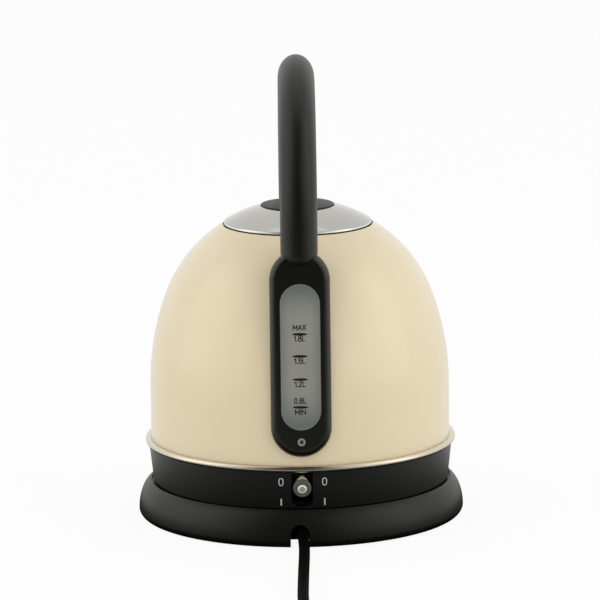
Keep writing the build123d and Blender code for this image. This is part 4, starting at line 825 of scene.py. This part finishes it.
def lettering(text, width, height, pen):
    """A thin flat mesh of a short text in pen strokes, centred, upright in XY and in millimetres."""
    strokes = round_bar("print", pen / 2, PEN_ROUND_STEPS, PEN_LINE_STEPS)
    run = sum(LETTERS[letter][0] for letter in text) + LETTER_GAP * (len(text) - 1)
    stretch = (width - pen) / run if run else 0.0
    left = (pen - width) / 2
    for letter in text:
        letter_w, paths = LETTERS[letter]
        for (order, closed), points in paths:
            line = [Vector((left + x * stretch, (y - 0.5) * (height - pen), 0.0)) for x, y in points]
            if not closed:
                line[0] += (line[0] - line[1]).normalized() * pen / 2
                line[-1] += (line[-1] - line[-2]).normalized() * pen / 2
            path = draw_line(strokes, "NURBS", line)
            path.order_u = order
            path.use_cyclic_u = closed
            path.use_endpoint_u = not closed
        left += (letter_w + LETTER_GAP) * stretch
    mesh = mesh_of(strokes)
    mesh.transform(Matrix.Diagonal((1.0, 1.0, PRINT_T / pen, 1.0)))
    return mesh


def joined_print(name, meshes, finish):
    """Several printed meshes made one piece."""
    shape = bmesh.new()
    for mesh in meshes:
        shape.from_mesh(mesh)
        bpy.data.meshes.remove(mesh)
    return link_mesh(name, cast(name, shape), finish)


def print_ink(name, colour, worn):
    """Printing ink with small thin spots."""
    ink = Finish(name, {"Roughness": 0.5})
    spots = ink.grain(size=0.0004, detail=3.0)
    ink.colours(ink.ramp(spots, low=0.45, high=0.75), colour, worn)
    return ink


mark_meshes = []
for text, mark_z, mark_w, mark_h, mark_pen in (OFF_MARK, ON_MARK):
    for mark_x in MARK_XS:
        mark = lettering(text, mark_w, mark_h, mark_pen)
        for vertex in mark.vertices:
            x = vertex.co.x + mark_x
            z = vertex.co.y + mark_z
            radius = SKIRT_LOW_R + (z - SKIRT_LOW_Z) * SKIRT_SLOPE + vertex.co.z + MARK_LIFT
            vertex.co = Vector((x, -math.sqrt(radius**2 - x**2), z)) * MM
        mark_meshes.append(mark)
switch_marks = joined_print("switch_marks", mark_meshes, print_ink("mark_ink", MARK_COLOUR, MARK_WORN))
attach(switch_marks, "kettle")


# Switch: a frosted clear lever with a steel core turns on a steel pin in a nylon bracket.
# A thin shutter closes the slot behind it, a small red lamp sits behind the pivot,
# and a rocker works the control.
FROST_PAINTED_LIGHT = (232, 222, 196)
FROST_PAINTED_SHADE = (34, 31, 26)
FROST_END = (90, 87, 78)
FROST_PAINTED_GLINT = (206, 140, 116)
FROST_UNLIT = (0, 0, 0)
FROST_END_Y = -93.2
FROST_CONE_Y = -91.6
FROST_PAINTED_GLOW = 0.08
WEDGE_APEX_Y = -83.4
WEDGE_SPREAD = 0.38
WEDGE_BLUR = 0.5
GLINT_LENGTH = 3.0
LEVER_CORE = (206, 202, 192)
TIP_CENTRE = (0.0, -95.05, 35.33)
TIP_HIGHLIGHT_FROM = 1.5
TIP_HIGHLIGHT_TO = 2.2
TIP_MIDDLE = (160, 157, 142)
TIP_PAINTED_HIGHLIGHT = (252, 250, 242)
SHUTTER_LIT = (15, 15, 13)
SHUTTER_PAINTED_SHADE = (2, 2, 2)
SHUTTER_SHADE_Z = (34.0, 42.0)
BRACKET_BLACK = (4, 4, 4)
BRACKET_WORN = (7, 7, 7)
LAMP_RED = (176, 34, 22)
LAMP_BRIGHT = (214, 60, 40)

# The lever's colour is painted light: a painted highlight in a narrowing wedge down its neck, painted
# shade on its flanks, a painted red glint of the lamp at the wedge's point, and a painted glow, though the
# lever is no lamp.
frosted = Finish(
    "frosted_lever",
    {"Transmission Weight": 0.15, "IOR": 1.49, "Coat Weight": 0.2, "Emission Strength": FROST_PAINTED_GLOW},
)
frost_y = frosted.part(frosted.place, "Y")
off_axis = frosted.maths("ABSOLUTE", frosted.part(frosted.place, "X"))
wedge_edge = (WEDGE_APEX_Y * MM - frost_y) * WEDGE_SPREAD
painted_light_wedge = 1.0 - frosted.ramp(off_axis - wedge_edge, -WEDGE_BLUR * MM, WEDGE_BLUR * MM)
painted_glint = frosted.ramp(frost_y, (WEDGE_APEX_Y - GLINT_LENGTH) * MM, WEDGE_APEX_Y * MM)
wedge_painted_light = frosted.tint(painted_glint, paint(*FROST_PAINTED_LIGHT), paint(*FROST_PAINTED_GLINT))
on_cone = frosted.ramp(frost_y, FROST_END_Y * MM, FROST_CONE_Y * MM)
cone_painted_light = frosted.tint(painted_light_wedge, paint(*FROST_PAINTED_SHADE), wedge_painted_light)
frosted.coat("Base Color", frosted.tint(on_cone, paint(*FROST_END), cone_painted_light))
frosted.coat("Emission Color", frosted.tint(on_cone * painted_light_wedge, paint(*FROST_UNLIT), wedge_painted_light))
frost_grain = frosted.grain(size=0.0005, detail=3.0)
frosted.gloss(least=0.3, spread=0.2, pattern=frost_grain)
frosted.relief(frost_grain, depth=0.00002)
dress(frosted, "toggle_lever")
core_steel = Finish("lever_core_steel", {"Base Color": paint(*LEVER_CORE), "Metallic": 1.0})
core_steel.gloss(least=0.18, spread=0.16, pattern=core_steel.grain(size=0.0005))
dress(core_steel, "toggle_pin", "rocker_pin")
# The tip's bright ring round its middle is a painted highlight.
tip_steel = Finish("lever_tip_steel", {"Metallic": 0.25})
tip_reach = tip_steel.add(
    "ShaderNodeVectorMath",
    {"operation": "DISTANCE"},
    {0: tip_steel.place, 1: tuple(Vector(TIP_CENTRE) * MM)},
    "Value",
)
tip_steel.colours(tip_steel.ramp(tip_reach, TIP_HIGHLIGHT_FROM * MM, TIP_HIGHLIGHT_TO * MM), TIP_MIDDLE, TIP_PAINTED_HIGHLIGHT)
tip_steel.gloss(least=0.3, spread=0.16, pattern=tip_steel.grain(size=0.0005))
dress(tip_steel, "toggle_core")
# The shutter's colour is painted light and shade: lighter at its top, in painted shade lower down in the
# slot.
shutter = Finish("shutter_plastic", {"Specular IOR Level": 0.2})
shutter_light = shutter.ramp(shutter.part(shutter.place, "Z"), *[z * MM for z in SHUTTER_SHADE_Z])
shutter.colours(shutter_light, SHUTTER_PAINTED_SHADE, SHUTTER_LIT)
shutter.gloss(least=0.5, spread=0.1, pattern=shutter.grain(size=0.0006))
dress(shutter, "toggle_shutter")
bracket_nylon = moulded(
    "bracket_nylon",
    BRACKET_BLACK,
    BRACKET_WORN,
    roughness=0.6,
    grain_size=0.0008,
    grain_depth=0.00002,
    specular=SHEATH_SPECULAR,
)
dress(bracket_nylon, "switch_bracket", "switch_rocker")
lamp = Finish("red_lamp", {"Transmission Weight": 0.4, "Roughness": 0.12})
lamp.colours(lamp.grain(size=0.003), LAMP_RED, LAMP_BRIGHT)
dress(lamp, "pilot_lamp")


# Trim ring: a rounded band of satin stainless steel over the joint of dome and skirt.
# It is rolled and finished along its length, so its fine lines run round it.
RING_STEEL = (218, 209, 190)
RING_SHADE = (208, 199, 180)

ring_steel = Finish("ring_steel", {"Metallic": 1.0})
ring_lines = ring_steel.grain(size=0.002, detail=3.0, stretch=(6.0, 6.0, 0.12))
ring_steel.colours(ring_lines, RING_SHADE, RING_STEEL)
ring_steel.gloss(least=0.2, spread=0.14, pattern=ring_lines)
ring_steel.relief(ring_lines, depth=0.000002)
dress(ring_steel, "trim_ring")


# Dome: one drawn steel shell enamelled cream under a hard gloss coat, with the spout welded to it.
# The strainer, the lid's seat, the floor with its heater and the control are bare metal or nylon inside.
CREAM = (226, 210, 176)
CREAM_SHADE = (222, 206, 171)
BARE_STEEL = (190, 188, 182)
ALUMINIUM = (186, 187, 188)
BIMETAL = (150, 146, 138)
SILICONE = (186, 184, 176)
SILICONE_WORN = (202, 200, 192)

enamel = Finish("cream_enamel", {"Coat Weight": 0.5, "Coat Roughness": 0.12, "Specular IOR Level": 0.35})
enamel_clouds = enamel.grain(size=0.03)
enamel.colours(enamel_clouds, CREAM_SHADE, CREAM)
enamel.gloss(least=0.28, spread=0.08, pattern=enamel_clouds)
enamel.relief(enamel.grain(size=0.0022), depth=0.000012)
dress(enamel, "dome_shell", "spout")
bare_steel = Finish("bare_steel", {"Metallic": 1.0})
bare_rub = bare_steel.grain(size=0.0012, detail=3.0, stretch=(1.0, 1.0, 8.0))
bare_steel.colours(bare_rub, BIMETAL, BARE_STEEL)
bare_steel.gloss(least=0.24, spread=0.16, pattern=bare_rub)
bare_steel.relief(bare_rub, depth=0.000006)
dress(bare_steel, "spout_strainer", "lid_seat", "floor_plate", "heating_element")
dress(bare_steel, "handle_strap", "handle_posts")
dress(screw_steel, "control_screws", "strap_screws", "knob_screw")
aluminium = Finish("cast_aluminium", {"Metallic": 1.0, "Base Color": paint(*ALUMINIUM)})
aluminium_grain = aluminium.grain(size=0.0015, detail=4.0)
aluminium.gloss(least=0.4, spread=0.2, pattern=aluminium_grain)
aluminium.relief(aluminium_grain, depth=0.00004)
dress(aluminium, "diffuser_plate")
bimetal = Finish("bimetal", {"Metallic": 1.0, "Base Color": paint(*BIMETAL)})
bimetal.gloss(least=0.3, spread=0.2, pattern=bimetal.grain(size=0.001, detail=3.0))
dress(bimetal, "bimetal_discs")
dress(brass, "coupler_pin")
dress(inner_nylon, "control_block", "coupler_sleeve")
silicone = moulded(
    "steam_silicone", SILICONE, SILICONE_WORN, roughness=0.5, grain_size=0.001, grain_depth=0.00002
)
dress(silicone, "steam_tube")
dress(soft_rubber, "steam_bush", "floor_seal", "gauge_seals")


# Water gauge: a satin black panel fitted to the dome and held by one screw.
# A smoky clear window is let into it, with printed level lines and figures.
PANEL_BLACK = (4, 4, 3)
PANEL_WORN = (7, 7, 6)
PANEL_SPECULAR = 0.6
PANEL_LOW_Z = 54.3
PANEL_LOW_Y = -93.99
PANEL_TILT = math.radians(2.5)
WINDOW_SINK = 0.6
WINDOW_LOW_Z = 69.7
WINDOW_HIGH_Z = 154.9
WINDOW_HALF_W = 11.55
WINDOW_GREY = (141, 141, 131)
WINDOW_END = (98, 104, 101)
WINDOW_RIM_HIGHLIGHT = (150, 153, 146)
FOOT_FADE = (-3.0, 26.0)
HEAD_FADE = (-22.0, 2.0)
WINDOW_CLOUD = 0.15
RIM_FROM = 1.1
RIM_TO = 0.4
RIM_HIGHLIGHT_SHARE = 0.35
SIDE_FROM = 5.0
SIDE_SHADE = 0.45
INK = (10, 8, 6)
INK_THIN = (22, 19, 16)
LEVEL_LINES = (125.7, 112.9, 99.4, 83.2)
LINE_LENGTH = 8.9
LINE_THICK = 1.5
LINE_X = -0.35
LINE_STEPS = 28
# A level's text, its height on the panel and its width
LEVEL_TEXTS = (
    ("MAX", 129.7, 7.7),
    ("1.8L", 123.2, 6.4),
    ("1.5L", 110.2, 6.4),
    ("1.2L", 96.7, 6.4),
    ("0.8L", 87.0, 7.1),
    ("MIN", 80.5, 6.4),
)
LEVEL_TEXT_H = 3.4
LEVEL_TEXT_PEN = 0.56
LEVEL_TEXT_X = -0.5
PANEL_SCREW_Z = 62.7
PANEL_SCREW_HIGHLIGHT = (232, 225, 207)
PANEL_SCREW_DULL = (128, 120, 106)
PANEL_SCREW_RECESS_SHADE = (14, 13, 11)
PANEL_SCREW_HIGHLIGHT_RING = (1.2, 1.9)
PANEL_SCREW_SHADE_DEPTHS = (0.45, 0.2)
PANEL_SCREW_R = 2.4
PANEL_SCREW_SINK = 0.8
PANEL_SCREW_H = 2.0
PANEL_SHANK_R = 1.8
PANEL_SHANK = 5.0

panel_plastic = moulded(
    "panel_plastic",
    PANEL_BLACK,
    PANEL_WORN,
    roughness=0.32,
    grain_size=0.0006,
    grain_depth=0.00002,
    specular=PANEL_SPECULAR,
)
dress(panel_plastic, "gauge_housing")
# The window is grey with faint clouds and darker towards its ends; a painted highlight runs along its rim,
# and painted shade darkens it towards its sides.
window = Finish("smoky_window", {"Coat Weight": 0.4, "Coat Roughness": 0.1, "Roughness": 0.36})
window_z = window.part(window.place, "Z")
window_low = window.ramp(window_z, *[(WINDOW_LOW_Z + z) * MM for z in FOOT_FADE])
window_high = 1.0 - window.ramp(window_z, *[(WINDOW_HIGH_Z + z) * MM for z in HEAD_FADE])
window_clouds = 1.0 - WINDOW_CLOUD + WINDOW_CLOUD * window.grain(size=0.012)
window_tone = window_low * window_high * window_clouds
window_mid_z = (WINDOW_LOW_Z + WINDOW_HIGH_Z) / 2
window_straight = (WINDOW_HIGH_Z - WINDOW_LOW_Z) / 2 - WINDOW_HALF_W
off_middle = window.maths("ABSOLUTE", window_z - window_mid_z * MM)
past_straight = window.maths("MAXIMUM", off_middle - window_straight * MM)
window_x = window.part(window.place, "X")
window_reach = window.maths("SQRT", window_x * window_x + past_straight * past_straight)
window_rim_highlight = window.ramp(window_reach, (WINDOW_HALF_W - RIM_FROM) * MM, (WINDOW_HALF_W - RIM_TO) * MM)
window_side_shade = window.ramp(window_reach, SIDE_FROM * MM, WINDOW_HALF_W * MM)
window_tone_and_shade = window_tone * (1.0 - SIDE_SHADE * window_side_shade)
window_body = window.tint(window_tone_and_shade, paint(*WINDOW_END), paint(*WINDOW_GREY))
window.coat("Base Color", window.tint(window_rim_highlight * RIM_HIGHLIGHT_SHARE, window_body, paint(*WINDOW_RIM_HIGHLIGHT)))
dress(window, "gauge_window")

panel_out = Vector((0.0, -math.cos(PANEL_TILT), math.sin(PANEL_TILT)))
panel_up = Vector((0.0, math.sin(PANEL_TILT), math.cos(PANEL_TILT)))
panel_turn = Matrix((Vector((1, 0, 0)), panel_up, panel_out)).transposed().to_4x4()


def on_panel(x, z, sink):
    """A point of the panel, off its middle line, at a height and a depth under its face."""
    face = Vector((x, PANEL_LOW_Y + (z - PANEL_LOW_Z) * math.tan(PANEL_TILT), z))
    return face - panel_out * sink


gauge_ink = print_ink("gauge_ink", INK, INK_THIN)
text_meshes = []
for text, text_z, text_w in LEVEL_TEXTS:
    text_mesh = lettering(text, text_w, LEVEL_TEXT_H, LEVEL_TEXT_PEN)
    place = Matrix.Translation(on_panel(LEVEL_TEXT_X, text_z, WINDOW_SINK)) @ panel_turn
    text_mesh.transform(Matrix.Scale(MM, 4) @ place)
    text_meshes.append(text_mesh)
gauge_figures = joined_print("gauge_figures", text_meshes, gauge_ink)
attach(gauge_figures, "kettle")

line_jig = Jig("level_lines", {"Length": "Float", "Thickness": "Float", "Finish": "Material"})
line_blank = line_jig.add(
    "GeometryNodeMeshCylinder", {}, {"Vertices": LINE_STEPS, "Radius": 0.5, "Depth": PRINT_T * 2 * MM}
)
line_size = line_jig.add(
    "ShaderNodeCombineXYZ",
    {},
    {"X": line_jig.size("Length"), "Y": line_jig.size("Thickness"), "Z": 1.0},
)
line_jig.close(line_blank, rotation=tuple(panel_turn.to_euler()), scale=line_size)
level_lines = line_jig.make(
    "level_lines",
    [on_panel(LINE_X, z, WINDOW_SINK) for z in LEVEL_LINES],
    {"Length": LINE_LENGTH * MM, "Thickness": LINE_THICK * MM, "Finish": gauge_ink.material},
)
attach(level_lines, "kettle")

panel_screw_face = on_panel(0.0, PANEL_SCREW_Z, PANEL_SCREW_SINK)
# The screw head's colour is painted light and shade: a painted highlight ring round its edge and painted
# shade down in its cross.
zinc = Finish("zinc_screw", {"Metallic": 0.4})
zinc_offset = zinc.add(
    "ShaderNodeVectorMath", {"operation": "SUBTRACT"}, {0: zinc.place, 1: tuple(panel_screw_face * MM)}
)
zinc_height = zinc.add(
    "ShaderNodeVectorMath", {"operation": "DOT_PRODUCT"}, {0: zinc_offset, 1: tuple(panel_out)}, "Value"
)
zinc_highlight_ring = zinc.ramp(zinc.length(zinc_offset), *[r * MM for r in PANEL_SCREW_HIGHLIGHT_RING])
zinc_out_of_shade = zinc.ramp(zinc_height, *[-depth * MM for depth in PANEL_SCREW_SHADE_DEPTHS])
zinc_painted_face = zinc.tint(zinc_highlight_ring, paint(*PANEL_SCREW_DULL), paint(*PANEL_SCREW_HIGHLIGHT))
zinc.coat("Base Color", zinc.tint(zinc_out_of_shade, paint(*PANEL_SCREW_RECESS_SHADE), zinc_painted_face))
zinc.gloss(least=0.34, spread=0.16, pattern=zinc.grain(size=0.0006, detail=3.0))
panel_screw_mesh = cross_screw("gauge_screw", PANEL_SCREW_R, PANEL_SCREW_H, PANEL_SHANK_R, PANEL_SHANK)
panel_screw_head = on_panel(0.0, PANEL_SCREW_Z, PANEL_SCREW_SINK + PANEL_SCREW_H)
set_screws("gauge_screw", panel_screw_mesh, [panel_screw_head], panel_out, "kettle", "panel_screw", zinc)


# Handle: two half shells in soft matt black plastic, screwed together round a steel strap.
# The arch rises from the panel, goes over the lid, and ends free above the spout.
# A fine weld line fills the seam over the arch.
HANDLE_BLACK = (10, 10, 8)
HANDLE_WORN = (15, 15, 12)
HANDLE_SPECULAR = 0.345
ARCH_Y = -6.7
ARCH_Z = 188.68
SEAM_HALF = 0.08
SEAM_IN_R = 86.1
SEAM_OUT_R = 86.472
SEAM_STEPS = 96
GRIP_REACH = 67.0
GRIP_ANGLES = (32.0, 90.0, 148.0)
GRIP_HEAD_X = 5.4
GRIP_HEAD_R = 2.3
GRIP_HEAD_H = 1.8
GRIP_SHANK_R = 1.2
GRIP_SHANK = 11.3
SIDEWAYS = (1.0, 0.0, 0.0)

handle_plastic = moulded(
    "handle_plastic",
    HANDLE_BLACK,
    HANDLE_WORN,
    roughness=0.42,
    grain_size=0.0007,
    grain_depth=0.00005,
    specular=HANDLE_SPECULAR,
)
dress(handle_plastic, "handle_left", "handle_right")


def on_arch(x, radius, angle):
    """A point of the handle's arch, off its middle plane, at an angle from the panel's side."""
    return (x, ARCH_Y - radius * math.cos(angle), ARCH_Z + radius * math.sin(angle))


seam_section = (
    (-SEAM_HALF, SEAM_IN_R),
    (SEAM_HALF, SEAM_IN_R),
    (SEAM_HALF, SEAM_OUT_R),
    (-SEAM_HALF, SEAM_OUT_R),
)
seam_weld = bmesh.new()
seam_rings = []
for step in range(SEAM_STEPS + 1):
    angle = math.pi * step / SEAM_STEPS
    places = [Vector(on_arch(x, radius, angle)) * MM for x, radius in seam_section]
    seam_rings.append([seam_weld.verts.new(place) for place in places])
seam_weld.faces.new(seam_rings[0])
seam_weld.faces.new(seam_rings[-1])
skin(seam_weld, seam_rings)
handle_seam = link_mesh("handle_seam", cast("handle_seam", seam_weld), handle_plastic)
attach(handle_seam, "kettle")
grip_screw_mesh = cross_screw("grip_screw", GRIP_HEAD_R, GRIP_HEAD_H, GRIP_SHANK_R, GRIP_SHANK)
grip_heads = [on_arch(GRIP_HEAD_X, GRIP_REACH, math.radians(degrees)) for degrees in GRIP_ANGLES]
set_screws("handle_screws", grip_screw_mesh, grip_heads, SIDEWAYS, "kettle", "grip_screws")


# Lid: a polished steel cap over a nylon liner with a rubber seal, lifted by a low black knob.
# The cap is spun and buffed, so its faint lines run round the knob. Its rim is left satin and painted
# paler, as a painted reflection, and its lower edge, where it sits in the seat, is painted shadow.
LID_STEEL = (184, 183, 177)
LID_SHADE = (177, 176, 170)
LID_RIM_PAINTED_SHEEN = (238, 236, 228)
LID_RIM_R = (43.2, 43.7)
LID_RIM_SATIN = 0.45
LID_EDGE_PAINTED_SHADOW = (44, 32, 20)
LID_EDGE_Z = (175.15, 175.45)
LID_LINES_PER_M = 2600.0
LID_ROUGH = 0.07
LID_LINES_ROUGH = 0.05
LID_CLOUDS_ROUGH = 0.03
LID_RIM_ROUGH = 0.15
FLAT = (1.0, 1.0, 0.0)
KNOB_BLACK = (16, 16, 14)
KNOB_WORN = (22, 22, 19)
KNOB_SPECULAR = 0.28

lid_steel = Finish("polished_lid", {})
lid_flat = lid_steel.add("ShaderNodeVectorMath", {"operation": "MULTIPLY"}, {0: lid_steel.place, 1: FLAT})
lid_radius = lid_steel.length(lid_flat)
lid_lines = lid_steel.add(
    "ShaderNodeTexNoise",
    {"noise_dimensions": "1D"},
    {"W": lid_radius, "Scale": LID_LINES_PER_M, "Detail": 3.0},
)
lid_clouds = lid_steel.grain(CLOUD_SIZE)
# The rim is left satin and painted paler, a painted reflection; its lowest edge is painted shadow.
lid_rim_satin_and_sheen = lid_steel.ramp(lid_radius, *[r * MM for r in LID_RIM_R])
lid_face = lid_steel.tint(lid_clouds, paint(*LID_SHADE), paint(*LID_STEEL))
lid_above_shadow = lid_steel.ramp(lid_steel.part(lid_steel.place, "Z"), *[z * MM for z in LID_EDGE_Z])
lid_sheen = lid_steel.tint(lid_rim_satin_and_sheen, lid_face, paint(*LID_RIM_PAINTED_SHEEN))
lid_steel.coat("Base Color", lid_steel.tint(lid_above_shadow, paint(*LID_EDGE_PAINTED_SHADOW), lid_sheen))
lid_steel.coat("Metallic", 1.0 - LID_RIM_SATIN * lid_rim_satin_and_sheen)
lid_rough = LID_ROUGH + LID_LINES_ROUGH * lid_lines + LID_CLOUDS_ROUGH * lid_clouds
lid_steel.coat("Roughness", lid_rough + LID_RIM_ROUGH * lid_rim_satin_and_sheen)
lid_steel.relief(lid_lines, depth=0.000001)
dress(lid_steel, "lid_cap")
dress(inner_nylon, "lid_liner")
dress(soft_rubber, "lid_seal")
knob_plastic = moulded(
    "knob_plastic",
    KNOB_BLACK,
    KNOB_WORN,
    roughness=0.44,
    grain_size=0.0006,
    grain_depth=0.00003,
    specular=KNOB_SPECULAR,
)
dress(knob_plastic, "lid_knob")
